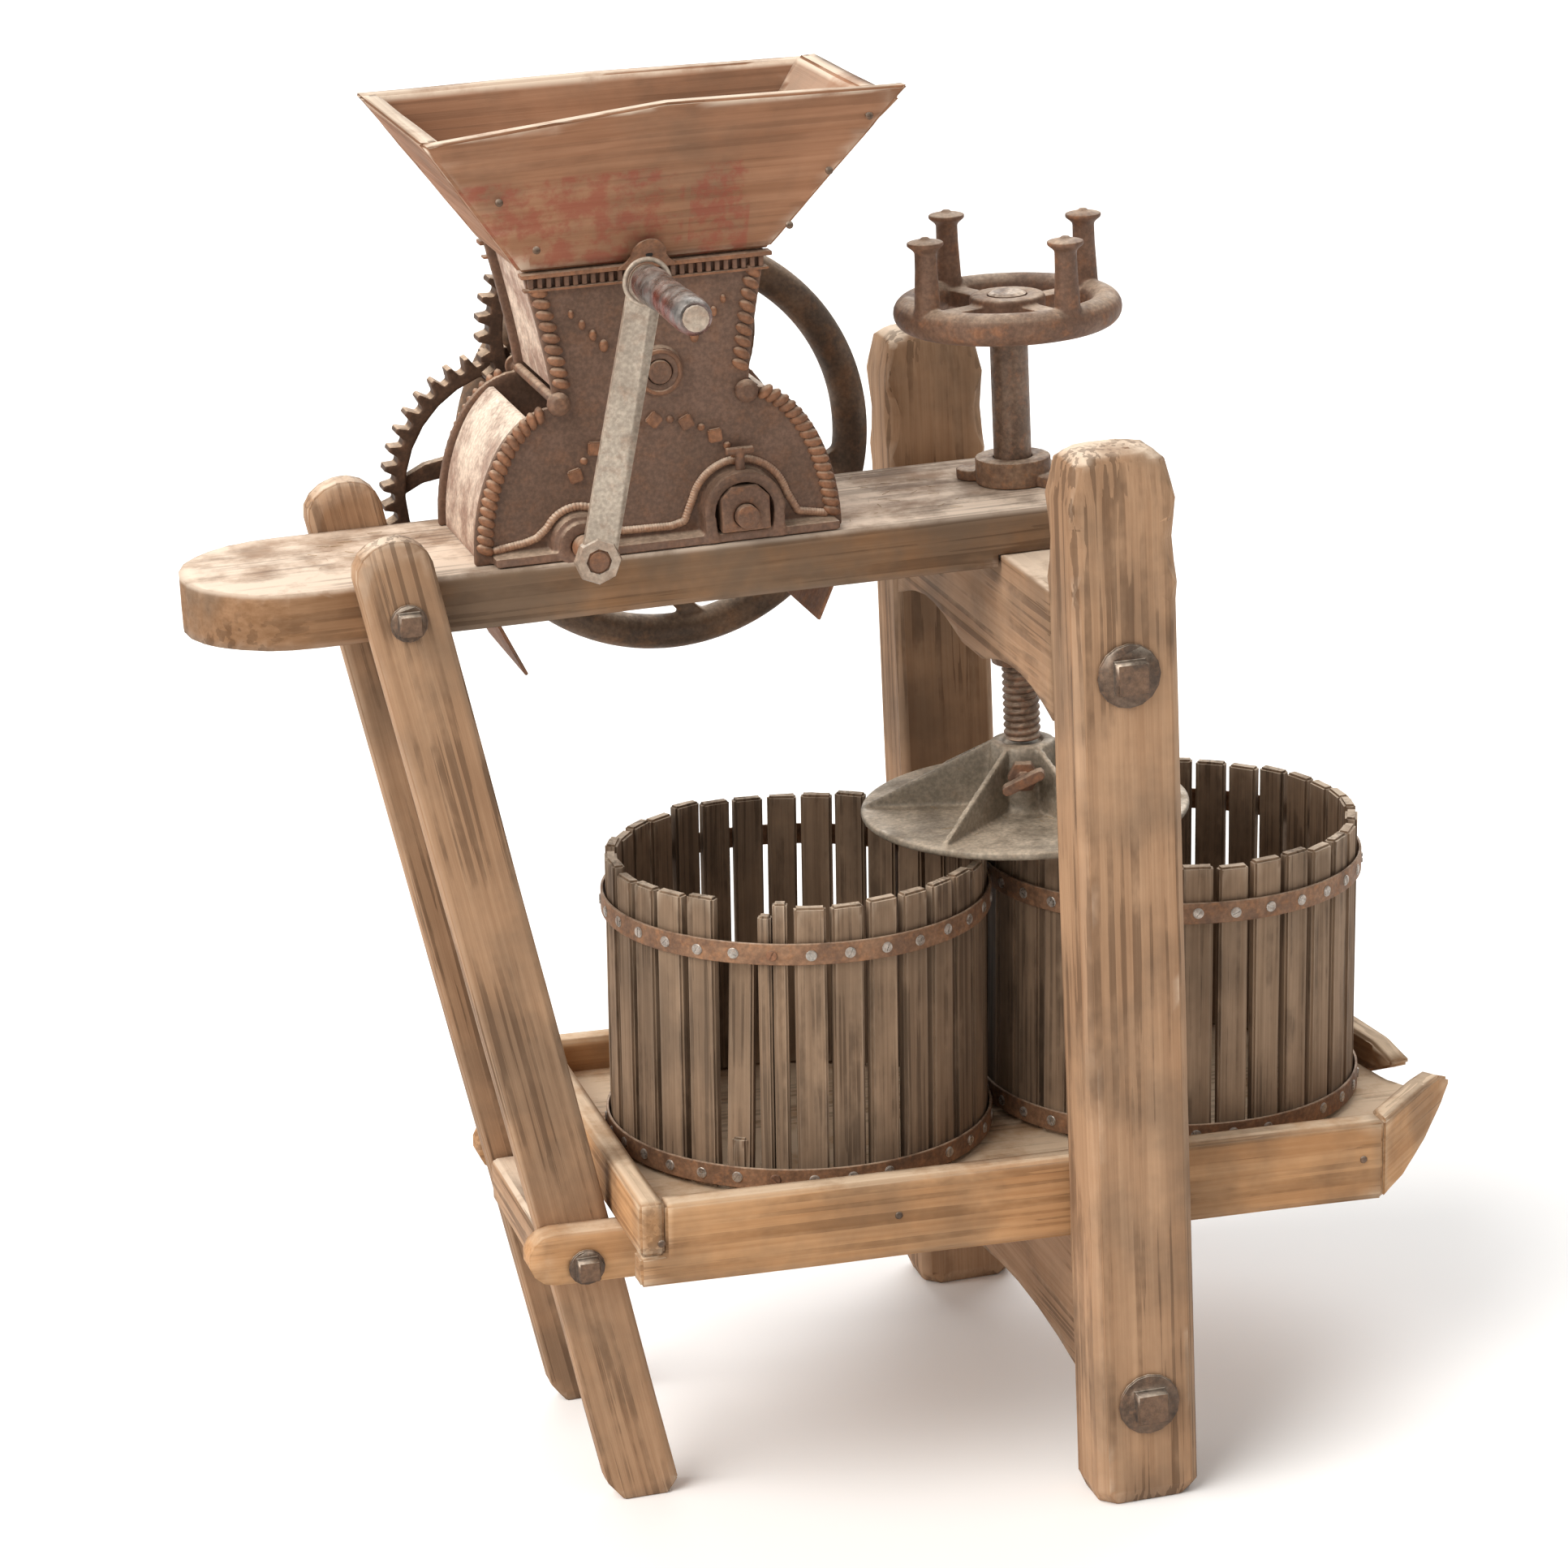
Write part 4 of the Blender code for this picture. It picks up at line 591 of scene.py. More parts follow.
# %% Cheeks
MILL_X = centre_of("cheek_front").x
PLANK_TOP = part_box("plank")[1].z
CASE_FOOT, CASE_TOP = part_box("drum_shell_left")[0].z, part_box("throat_shell_left")[1].z
CASE_WAIST = 1.003
HALF_TOP, HALF_WAIST, HALF_FOOT = 0.107, 0.086, 0.164
CHEEK_Y = 0.080                   # outer face of each cheek
JOINT_PLACES = {joint["name"]: joint.get("pos_m") for joint in frame["joints"]}
ROLLER_AXIS = (JOINT_PLACES["roller_spin"][0], JOINT_PLACES["roller_spin"][2])
CRANK_AXIS = (JOINT_PLACES["crank_turn"][0], JOINT_PLACES["crank_turn"][2])
FLY_AXIS = (JOINT_PLACES["flywheel_spin"][0], JOINT_PLACES["flywheel_spin"][2])


def case_half_width(z):
    """Half width of the casing's outline: a narrowing throat over a rounded drum."""
    if z >= CASE_WAIST:
        share = min(1.0, (z - CASE_WAIST) / (CASE_TOP - CASE_WAIST))
        return HALF_WAIST + (HALF_TOP - HALF_WAIST) * share**1.3
    share = max(0.0, (z - PLANK_TOP) / (CASE_WAIST - PLANK_TOP))
    return HALF_WAIST + (HALF_FOOT - HALF_WAIST) * math.sqrt(1 - share**2)


def case_side(bottom, top, inset=0.0, steps=30):
    """Points (half width, z) up one side of the casing, close together at the waist."""
    drum = [bottom + (min(top, CASE_WAIST) - bottom) * math.sin(math.pi / 2 * k / steps)
            for k in range(steps + 1)] if bottom < CASE_WAIST else []
    start = max(bottom, CASE_WAIST)
    throat = [start + (top - start) * k / 10 for k in range(1 if drum else 0, 11)]
    levels = drum + (throat if top > CASE_WAIST else [])
    return [(case_half_width(z) - inset, z) for z in levels]


def around_hole(bm, radius, outline_radius, centre, y_pair):
    """Add a round collar with a hole, along Y."""
    profile = [(radius, y_pair[0]), (outline_radius, y_pair[0]), (outline_radius, y_pair[1]),
               (radius, y_pair[1])]
    return turned(bm, profile, 40, "Y", (centre[0], 0, centre[1]), closed=True)


def make_cheek(side, word):
    """Cheek casting with its flange, bosses and housing."""
    bm = bmesh.new()
    edge = case_side(CASE_FOOT, CASE_TOP)
    outline = [(MILL_X - half, z) for half, z in edge]
    outline += [(MILL_X + half, z) for half, z in reversed(edge)]
    outer = side * CHEEK_Y
    prism(bm, outline, "Y", outer - side * 0.0075, outer)
    inside = outer - side * 0.003

    def out(distance):
        return outer + side * distance

    block(bm, (MILL_X - 0.149, MILL_X + 0.157), sorted((inside, out(0.018))),
          (PLANK_TOP + 0.0006, PLANK_TOP + 0.0085))
    foot = PLANK_TOP + 0.001
    boss = [(CRANK_AXIS[0] - 0.026, foot), (CRANK_AXIS[0] + 0.026, foot)]
    prism(bm, boss + arc(CRANK_AXIS, 0.026, 0, 180, 24), "Y", inside, out(0.014))
    around_hole(bm, 0.0112, 0.021, CRANK_AXIS, (inside, out(0.0195)))
    arch_centre = (FLY_AXIS[0], FLY_AXIS[1] + 0.002)
    housing = arc(arch_centre, 0.0355, 180, 0, 28)
    housing += [(FLY_AXIS[0] + 0.0355, foot), (FLY_AXIS[0] + 0.0235, foot)]
    housing += arc(arch_centre, 0.0262, 0, 180, 24)
    housing += [(FLY_AXIS[0] - 0.0235, foot), (FLY_AXIS[0] - 0.0355, foot)]
    prism(bm, housing, "Y", inside, out(0.0195))
    rim = arc(arch_centre, 0.0365, 180, 0, 28) + arc(arch_centre, 0.0315, 0, 180, 24)
    prism(bm, rim, "Y", inside, out(0.0215) if side < 0 else out(0.0195))
    around_hole(bm, 0.0112, 0.0215, ROLLER_AXIS, (inside, out(0.0058)))
    made = cast("cheek_" + word + "_casting", bm, 0.0015)
    return dress(made, cheek_paint, "frame", ["cheek_" + word])


for side, word in ((-1, "front"), (1, "back")):
    make_cheek(side, word)

# %% [markdown]
# ## Shells, and the relief on them
# Curved sheets close the casing between the cheeks. The upper pair is ornate: a lattice of low
# leaves, pressed into the sheet by a formula. The lower pair is plain.


# %% Shells
def make_shell(name, side, bottom, top, relief):
    """Curved sheet between the cheeks, its outer face raised by the relief's pattern."""
    bm = bmesh.new()
    rows = case_side(bottom, top, 0.006, 40)
    width = 2 * (CHEEK_Y - 0.0083)
    columns = 60
    outer, inner = [], []
    run = 0.0
    for i, (half, z) in enumerate(rows):
        if i:
            run += math.dist(rows[i], rows[i - 1])
        outer_row, inner_row = [], []
        for j in range(columns + 1):
            y = width * (j / columns - 0.5)
            wave = math.sin(run * 190) * math.sin(y * 210 + 1.4 * math.sin(run * 95))
            raised = relief * max(0.0, wave) ** 0.7 if abs(y) < width * 0.46 else 0.0
            x = MILL_X + side * (half - relief + raised)
            outer_row.append(bm.verts.new((x, y, z)))
            inner_row.append(bm.verts.new((MILL_X + side * (half - 0.004), y, z)))
        outer.append(outer_row)
        inner.append(inner_row)
    last = len(rows) - 1
    for i in range(last):
        for j in range(columns):
            for grid in (outer, inner):
                bm.faces.new((grid[i][j], grid[i][j + 1], grid[i + 1][j + 1], grid[i + 1][j]))
        for j in (0, columns):
            bm.faces.new((outer[i][j], outer[i + 1][j], inner[i + 1][j], inner[i][j]))
    for i in (0, last):
        for j in range(columns):
            bm.faces.new((outer[i][j], outer[i][j + 1], inner[i][j + 1], inner[i][j]))
    made = piece_from(name + "_sheet", bm)
    return dress(made, shell_dust, "frame", [name], 60)


for side, word in ((-1, "left"), (1, "right")):
    low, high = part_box("throat_shell_" + word)
    make_shell("throat_shell_" + word, side, low.z, high.z, 0.0016)
    low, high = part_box("drum_shell_" + word)
    make_shell("drum_shell_" + word, side, low.z, high.z, 0.0)
print("casing done")

# %% [markdown]
# ## Many small pieces from one tree
# Beads of the rope moulding, screws, nails, teeth of the cornice and loose straw all come from
# one node tree. It takes a cloud of points with a size and a turn each, puts the shape on every
# point, makes the copies real and gives them their material.


# %% Repeating tree
def repeating_tree():
    """Node tree that puts an object's shape on each point, with the point's own turn and size."""
    tree = bpy.data.node_groups.new("copies_on_points", "GeometryNodeTree")
    for label, kind in (("Points", "Geometry"), ("Shape", "Object"), ("Material", "Material")):
        tree.interface.new_socket(label, in_out="INPUT", socket_type="NodeSocket" + kind)
    tree.interface.new_socket("Copies", in_out="OUTPUT", socket_type="NodeSocketGeometry")
    given, result = tree.nodes.new("NodeGroupInput"), tree.nodes.new("NodeGroupOutput")
    shape = tree.nodes.new("GeometryNodeObjectInfo")
    place = tree.nodes.new("GeometryNodeInstanceOnPoints")
    angle = tree.nodes.new("FunctionNodeEulerToRotation")
    real = tree.nodes.new("GeometryNodeRealizeInstances")
    paint = tree.nodes.new("GeometryNodeSetMaterial")
    readers = []
    for label in ("turn", "size"):
        reader = tree.nodes.new("GeometryNodeInputNamedAttribute")
        reader.data_type = "FLOAT_VECTOR"
        reader.inputs["Name"].default_value = label
        readers.append(reader)
    tree.links.new(given.outputs["Shape"], shape.inputs["Object"])
    tree.links.new(given.outputs["Points"], place.inputs["Points"])
    tree.links.new(shape.outputs["Geometry"], place.inputs["Instance"])
    tree.links.new(readers[0].outputs["Attribute"], angle.inputs["Euler"])
    tree.links.new(angle.outputs["Rotation"], place.inputs["Rotation"])
    tree.links.new(readers[1].outputs["Attribute"], place.inputs["Scale"])
    tree.links.new(place.outputs["Instances"], real.inputs["Geometry"])
    tree.links.new(real.outputs["Geometry"], paint.inputs["Geometry"])
    tree.links.new(given.outputs["Material"], paint.inputs["Material"])
    tree.links.new(paint.outputs["Geometry"], result.inputs["Copies"])
    return tree


COPIES = repeating_tree()
SOCKETS = {item.name: item.identifier for item in COPIES.interface.items_tree}


def copies(name, shape, points, material, body, smooth=35):
    """One finished piece of many copies; each point is (place, turn, size)."""
    cloud = bpy.data.meshes.new(name)
    cloud.from_pydata([point[0] for point in points], [], [])
    for label, column in (("turn", 1), ("size", 2)):
        store = cloud.attributes.new(label, "FLOAT_VECTOR", "POINT")
        store.data.foreach_set("vector", [c for point in points for c in point[column]])
    made = bpy.data.objects.new(name, cloud)
    bpy.context.scene.collection.objects.link(made)
    modifier = made.modifiers.new("copies", "NODES")
    modifier.node_group = COPIES
    modifier[SOCKETS["Shape"]] = shape
    modifier[SOCKETS["Material"]] = material
    settle(made)
    for label in ("turn", "size"):
        left_over = made.data.attributes.get(label)
        if left_over:
            made.data.attributes.remove(left_over)
    print(name, len(points), "copies,", len(made.data.polygons), "faces")
    return dress(made, material, body, (), smooth)


def unit_bead():
    """Ball of radius 1."""
    bm = bmesh.new()
    bmesh.ops.create_icosphere(bm, subdivisions=2, radius=1.0)
    return piece_from("unit_bead", bm)


def unit_block():
    """Block from -1 to 1 on each axis, its edges rounded."""
    bm = bmesh.new()
    bmesh.ops.create_cube(bm, size=2.0)
    bmesh.ops.bevel(bm, geom=bm.edges[:], offset=0.18, segments=2, affect="EDGES")
    return piece_from("unit_block", bm)


def unit_screw():
    """Slotted screw head of radius 1 that stands up along Z."""
    bm = bmesh.new()
    turned(bm, [(0, -0.5), (1.0, -0.5), (1.0, 0.12), (0.9, 0.2), (0, 0.2)], 20)
    for flip in (0, 180):
        half = arc((0, 0.13), 0.78, flip, 180 + flip, 10)
        half = [(a, b if not flip else b - 0.26) for a, b in half]
        prism(bm, half, "Z", 0.15, 0.34)
    return piece_from("unit_screw", bm)


def unit_straw():
    """Bent sliver, 2 long along X."""
    bm = bmesh.new()
    prism(bm, [(-1, 0), (-0.3, 0.09), (0.4, 0.02), (1, 0.12), (0.4, 0.07), (-0.3, 0.14)], "Z", -0.03,
          0.03)
    return piece_from("unit_straw", bm)


BEAD, BLOCK, SCREW_HEAD, STRAW = unit_bead(), unit_block(), unit_screw(), unit_straw()
dice = random.Random(41)

# %% [markdown]
# ## Ornament of the cheeks
# A twisted rope runs up both edges of each cheek. A cornice with small square teeth and a round
# lug closes the top, a ribbon arches over the crank boss and the bearing housing, and lozenges
# with beads between them lie on an arc over the drum.


# %% Ornament
TIE_ROD_SPOTS = [(centre_of(n).x, centre_of(n).z) for n in ("tie_rod_left", "tie_rod_right")]
LUG_LEAN = 0.62                   # how far the lug leans outwards for each metre it rises
SET_SCREW_Y = -CHEEK_Y - 0.0105


def rope(side, word):
    """Twisted moulding up both edges of a cheek."""
    path = case_side(PLANK_TOP + 0.013, CASE_TOP - 0.018, 0.0088, 160)
    for hand, label in ((-1, "left"), (1, "right")):
        points = []
        spots = [Vector((MILL_X + hand * half, side * (CHEEK_Y + 0.0012), z)) for half, z in path]
        travelled, due = 0.0, 0.0
        for before, after in zip(spots, spots[1:]):
            step = (after - before).length
            travelled += step
            heading = math.atan2(after.x - before.x, after.z - before.z)
            near_rod = any(math.dist((after.x, after.z), spot) < 0.014 for spot in TIE_ROD_SPOTS)
            if travelled >= due:
                due = travelled + 0.0076
                if not near_rod:
                    points.append((tuple(after), (0, heading + math.radians(24), 0),
                                   (0.0084, 0.0058, 0.0046)))
        copies("rope_" + word + "_" + label, BEAD, points, moulding_rust, "frame", 60)


def cornice(side, word):
    """Lip, teeth and lug along the top of a cheek, with a flat dark disc of painted shade for the lug's
    hole.
    """
    outer = side * CHEEK_Y
    bm = bmesh.new()
    block(bm, (MILL_X - HALF_TOP - 0.003, MILL_X + HALF_TOP + 0.003),
          sorted((outer - side * 0.004, outer + side * 0.0105)), (CASE_TOP - 0.0042, CASE_TOP - 0.0004))
    block(bm, (MILL_X - HALF_TOP - 0.0005, MILL_X + HALF_TOP + 0.0005),
          sorted((outer - side * 0.004, outer + side * 0.0065)), (CASE_TOP - 0.0165, CASE_TOP - 0.0142))
    lug = [(MILL_X - 0.0265, CASE_TOP - 0.003), (MILL_X - 0.0185, CASE_TOP + 0.0035)]
    lug += arc((MILL_X, CASE_TOP + 0.008), 0.0155, 180, 0, 20)
    lug += [(MILL_X + 0.0185, CASE_TOP + 0.0035), (MILL_X + 0.0265, CASE_TOP - 0.003)]
    first = len(bm.verts)
    prism(bm, lug, "Y", side * (CHEEK_Y + 0.0085), side * (CHEEK_Y + 0.0130))
    bm.verts.ensure_lookup_table()
    for vert in bm.verts[first:]:
        vert.co.y += side * LUG_LEAN * max(0.0, vert.co.z - CASE_TOP)
    made = piece_from("cornice_" + word, bm)
    soften = made.modifiers.new("round", "BEVEL")
    soften.width = 0.0008
    soften.segments = 2
    settle(made)
    dress(made, moulding_rust, "frame")
    count = 26
    teeth = [((MILL_X + (HALF_TOP - 0.006) * (2 * k / count - 1), side * (CHEEK_Y + 0.0025),
               CASE_TOP - 0.0092), (0, 0, 0), (0.0021, 0.0036, 0.0046)) for k in range(count + 1)]
    copies("cornice_teeth_" + word, BLOCK, teeth, cheek_paint, "frame")
    # The lug's hole is not cut: a flat, near-black disc on the lug's face is painted shade.
    hole = [((MILL_X, side * (CHEEK_Y + 0.0133 + LUG_LEAN * 0.009), CASE_TOP + 0.009),
             (math.pi / 2, 0, 0), (0.0032, 0.0032, 0.0006))]
    copies("lug_hole_" + word, BEAD, hole, painted_hole_shade, "frame")


def ribbon(side, word):
    """Raised band that runs along the foot and arches over the boss and the housing."""
    level = PLANK_TOP + 0.0165
    path = [(MILL_X - 0.147, level - 0.004), (CRANK_AXIS[0] - 0.047, level),
            (CRANK_AXIS[0] - 0.037, level + 0.003)]
    path += arc(CRANK_AXIS, 0.0315, 150, 22, 22)
    path += [(CRANK_AXIS[0] + 0.038, level + 0.001), (FLY_AXIS[0] - 0.062, level),
             (FLY_AXIS[0] - 0.050, level + 0.003)]
    path += arc((FLY_AXIS[0], FLY_AXIS[1] + 0.002), 0.0435, 163, 14, 26)
    path += [(FLY_AXIS[0] + 0.052, level + 0.001), (MILL_X + 0.150, level - 0.004)]
    points = []
    for (x0, z0), (x1, z1) in zip(path, path[1:]):
        count = max(1, round(math.dist((x0, z0), (x1, z1)) / 0.0025))
        turn = -math.atan2(z1 - z0, x1 - x0)
        for k in range(count):
            share = (k + 0.5) / count
            points.append(((x0 + (x1 - x0) * share, side * (CHEEK_Y + 0.0012), z0 + (z1 - z0) * share),
                           (0, turn, 0), (0.0034, 0.0034, 0.0036)))
    copies("ribbon_" + word, BEAD, points, moulding_dust, "frame", 60)


def drum_ornament(side, word):
    """Lozenges and beads on an arc, and small drops beside the roller ring."""
    lozenges, beads = [], []
    centre = (MILL_X, 0.900)
    for k in range(13):
        angle = math.radians(150 - 10 * k)
        spot = (centre[0] + 0.083 * math.cos(angle), side * (CHEEK_Y + 0.0006),
                centre[1] + 0.083 * math.sin(angle))
        if k % 2:
            beads.append((spot, (0, 0, 0), (0.0034, 0.0036, 0.0034)))
        else:
            lozenges.append((spot, (0, math.pi / 4 - angle, 0), (0.0058, 0.0032, 0.0058)))
    for hand in (-1, 1):
        for k in range(4):
            beads.append(((MILL_X + hand * (0.040 + 0.009 * k), side * (CHEEK_Y + 0.0006),
                           1.052 + 0.010 * k), (0, 0, 0), (0.0040 - 0.0005 * k, 0.0034,
                                                           0.0058 - 0.0006 * k)))
    copies("lozenges_" + word, BLOCK, lozenges, moulding_rust, "frame")
    copies("beads_" + word, BEAD, beads, moulding_rust, "frame", 60)


# Near-black iron for that disc: painted shade where the lug's hole would be.
painted_hole_shade = iron("painted_hole_shade", (0.012, 0.009, 0.007), (0.02, 0.015, 0.011), (0.03, 0.018, 0.010),
                 (0.05, 0.04, 0.03), rusting=0.3, dusting=0.1, metallic=0.0, roughness=0.85)
moulding_dust = iron("dusty_moulding", (0.34, 0.20, 0.13), (0.52, 0.38, 0.27), RUST,
                     (0.74, 0.60, 0.47), rusting=0.5, dusting=0.9, dust_start=0.1, scale=30)
for side, word in ((-1, "front"), (1, "back")):
    rope(side, word)
    cornice(side, word)
    ribbon(side, word)
    drum_ornament(side, word)
    bm = bmesh.new()
    ring(bm, 0.0182, 0.0021, "Y", side * (CHEEK_Y + 0.0058), ROLLER_AXIS, 64, 12)
    dress(piece_from("roller_ring_" + word, bm), moulding_rust, "frame", (), 60)
bm = bmesh.new()
rod(bm, 0.0042, "Z", FLY_AXIS[1] + 0.030, FLY_AXIS[1] + 0.058, (FLY_AXIS[0], SET_SCREW_Y), 20)
rod(bm, 0.0034, "X", FLY_AXIS[0] - 0.0125, FLY_AXIS[0] + 0.0125, (SET_SCREW_Y, FLY_AXIS[1] + 0.055),
    20)
dress(cast("set_screw", bm, 0.0007), rusty_iron, "frame")

# %% [markdown]
# ## Pieces that follow their CAD solid
# Bolts, the crank's shaft and the chute plates keep the shape of their CAD solid, with rounded
# edges. Toothed wheels, nuts and tie rods are melted from theirs, which fills and softens corners.


# %% Refined CAD solids
def solid_copy(node):
    """Shape of a CAD node, with its flat faces whole again."""
    bm = bmesh.new()
    bm.from_mesh(frame["nodes"][node].data)
    bmesh.ops.remove_doubles(bm, verts=bm.verts[:], dist=1e-5)
    return bm


def polished(node, material, body, edge=0.0010, smooth=40):
    """Copy of a CAD solid with rounded edges."""
    bm = solid_copy(node)
    bmesh.ops.dissolve_limit(bm, angle_limit=math.radians(1), verts=bm.verts[:], edges=bm.edges[:])
    sharp = [e for e in bm.edges if len(e.link_faces) == 2 and e.calc_face_angle() > math.radians(38)]
    bmesh.ops.bevel(bm, geom=sharp, offset=edge, segments=2, affect="EDGES", clamp_overlap=True)
    return dress(piece_from(node + "_metal", bm), material, body, [node], smooth)


def melted(node, material, body, voxel, soften=3):
    """Copy of a CAD solid with a casting's soft edges and filled corners."""
    return dress(cast(node + "_casting", solid_copy(node), voxel, soften), material, body,
                 [node])


for node in ("bearing_block_front", "bearing_block_back"):
    melted(node, rusty_iron, "frame", 0.0012)
for node in ("chute_plate_left", "chute_plate_right"):
    polished(node, rusty_iron, "frame", 0.0006)
for node in ("tie_rod_left", "tie_rod_right", "screw_nut", "lower_nut"):
    melted(node, rusty_iron if "rod" in node else hoop_rust, "frame", 0.0011)
for height in ("upper", "lower"):
    for word in ("front", "back"):
        polished("post_bolt_" + height + "_" + word, bolt_iron, "frame")
for word in ("front", "back"):
    polished("leg_bolt_" + word, bolt_iron, "frame")
    polished("rail_bolt_" + word, bolt_iron, "frame")
melted("thumb_screw", rusty_iron, "thumb_screw", 0.0007)
melted("crank_wheel", gear_iron, "crank_train", 0.0011)
melted("roller_wheel", gear_iron, "feed_train", 0.0011)
melted("feed_roller", rusty_iron, "feed_train", 0.0012)
melted("grinding_cylinder", rusty_iron, "flywheel_train", 0.0012)
polished("crank_shaft", rusty_iron, "crank_train", 0.0018)

# %% [markdown]
# ## Wheels, screw and press plate
# These are turned and swept finely: a round rim with curved spokes for the flywheel, a ring with
# four mushroom-headed pegs for the handwheel, a rounded thread, and a ribbed plate.


# %% Flywheel, handwheel, screw and plate
SCREW_X = centre_of("press_screw").x


def spider(reach, hub, spokes, width, turn, sweep, steps=14):
    """Outline of a hub with curved spokes, about the origin."""
    points = []
    for k in range(spokes):
        start = turn + math.tau * k / spokes
        one, other = [], []
        for i in range(steps + 1):
            share = i / steps
            radius = hub + (reach - hub) * share
            angle = start + sweep * share**1.4
            half = width * (1.15 - 0.3 * share) / (2 * radius)
            one.append((radius, angle - half))
            other.append((radius, angle + half))
        points += one + other[::-1] + [(hub, start + math.tau / spokes / 2)]
    return [(r * math.cos(a), r * math.sin(a)) for r, a in points]


def placed(bm, first, matrix):
    """Move the points added since the first count."""
    bm.verts.ensure_lookup_table()
    bmesh.ops.transform(bm, matrix=matrix, verts=bm.verts[first:])


def make_flywheel():
    """Flywheel casting."""
    low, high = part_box("flywheel")
    middle, minor = 0.193, 0.0163
    major = (high.x - low.x) / 2 - minor - 0.0004
    bm = bmesh.new()
    ring(bm, major, minor, "Y", middle, FLY_AXIS, 120, 24)
    web = spider(major, 0.030, 5, 0.022, math.radians(28.9), math.radians(37))
    prism(bm, [(FLY_AXIS[0] + a, FLY_AXIS[1] + b) for a, b in web], "Y", middle - 0.0078,
          middle + 0.0078)
    turned(bm, [(0.0108, middle - 0.0178), (0.025, middle - 0.0178), (0.027, middle - 0.015),
                (0.027, middle + 0.015), (0.025, middle + 0.0178), (0.0108, middle + 0.0178)], 40,
           "Y", (FLY_AXIS[0], 0, FLY_AXIS[1]), closed=True)
    made = cast("flywheel_casting", bm, 0.0018, 5)
    dress(made, flywheel_rust, "flywheel_train", ["flywheel"], 60)


def make_handwheel():
    """Handwheel with four pegs that end in a flat head and a nipple."""
    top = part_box("handwheel")[1].z
    level, reach, turn = 1.0287, 0.0874, math.radians(19)
    bm = bmesh.new()
    ring(bm, reach, 0.0146, "Z", level, (SCREW_X, 0), 96, 20)
    turned(bm, [(0.0177, level - 0.0118), (0.033, level - 0.0118), (0.034, level - 0.009),
                (0.034, level + 0.011), (0.032, level + 0.0138), (0.0177, level + 0.0138)], 40, "Z",
           (SCREW_X, 0, 0), closed=True)
    for k in range(4):
        angle = turn + math.tau * k / 4
        first = len(bm.verts)
        block(bm, (0.025, reach), (-0.0098, 0.0098), (level - 0.0078, level + 0.0078))
        placed(bm, first, Matrix.Translation((SCREW_X, 0, 0)) @ Matrix.Rotation(angle, 4, "Z"))
        profile = [(0, level), (0.0122, level + 0.004), (0.0100, top - 0.030), (0.0098, top - 0.0135),
                   (0.0125, top - 0.0110), (0.0162, top - 0.0080), (0.0162, top - 0.0050),
                   (0.0100, top - 0.0034), (0.0040, top - 0.0026), (0.0036, top - 0.0004),
                   (0, top - 0.0002)]
        turned(bm, profile, 32, "Z", (SCREW_X + reach * math.cos(angle), reach * math.sin(angle), 0))
    made = cast("handwheel_casting", bm, 0.0014, 2)
    dress(made, rusty_iron, "press_screw", ["handwheel"], 50)


SMOOTH_ABOVE = PLANK_TOP + 0.018  # the thread ends here, and the rest of the screw is smooth


def make_screw():
    """Screw with a rounded thread, which climbs as the wheel turns anticlockwise."""
    low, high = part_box("press_screw")
    pitch, crest, root, around = 0.0066, high.x - SCREW_X - 0.0002, 0.0149, 40
    foot, length = low.z + 0.002, high.z - low.z - 0.004
    steps = int(length / (pitch / 8))
    rows = []
    bm = bmesh.new()
    for i in range(steps + 1):
        z = foot + length * i / steps
        row = []
        for k in range(around):
            angle = math.tau * k / around
            wave = 0.5 + 0.5 * math.cos(math.tau * z / pitch - angle)
            threaded = min(1.0, max(0.0, (SMOOTH_ABOVE - z) / 0.008))
            radius = crest - (crest - root) * (1 - wave**0.8) * threaded
            row.append(bm.verts.new((SCREW_X + radius * math.cos(angle), radius * math.sin(angle), z)))
        rows.append(row)
    for one, other in zip(rows, rows[1:]):
        for k in range(around):
            n = (k + 1) % around
            bm.faces.new((one[k], one[n], other[n], other[k]))
    for row, z, dent in ((rows[0], low.z, 0.0), (rows[-1], high.z, 0.003)):
        edge = [bm.verts.new((SCREW_X + a, b, z)) for a, b in arc((0, 0), 0.0135, 0, 360, around)[:-1]]
        tip = bm.verts.new((SCREW_X, 0, z - dent))
        for k in range(around):
            n = (k + 1) % around
            bm.faces.new((row[k], row[n], edge[n], edge[k]))
            bm.faces.new((edge[k], edge[n], tip))
    dress(piece_from("screw_thread", bm), screw_iron, "press_screw", ["press_screw"], 50)


def make_plate():
    """Round plate with thin straight ribs from its hub's top to its rim."""
    low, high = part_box("press_plate")
    radius, hub_top, thick = (high.x - low.x) / 2 - 0.0003, high.z, 0.008
    top = low.z + thick
    bm = bmesh.new()
    turned(bm, [(0, low.z + 0.0002), (radius - 0.003, low.z + 0.0002), (radius, low.z + 0.003),
                (radius, top - 0.002), (radius - 0.002, top), (0.038, top), (0.0335, top + 0.006),
                (0.0300, hub_top - 0.003), (0.0275, hub_top - 0.0003), (0.019, hub_top - 0.0003),
                (0.018, hub_top - 0.004), (0, hub_top - 0.004)], 96, "Z", (SCREW_X, 0, 0))
    web = [(0.020, top - 0.002), (radius - 0.004, top - 0.002), (radius - 0.005, top + 0.0022),
           (0.0292, hub_top - 0.0015), (0.020, hub_top - 0.0015)]
    for k in range(6):
        first = len(bm.verts)
        prism(bm, web, "Y", -0.0028, 0.0028)
        turn = Matrix.Rotation(math.radians(-138 + 60 * k), 4, "Z")
        placed(bm, first, Matrix.Translation((SCREW_X, 0, 0)) @ turn)
    made = cast("plate_casting", bm, 0.0018, 2)
    dress(made, plate_iron, "press_plate", ["press_plate"], 50)


make_flywheel()
make_handwheel()
make_screw()
make_plate()

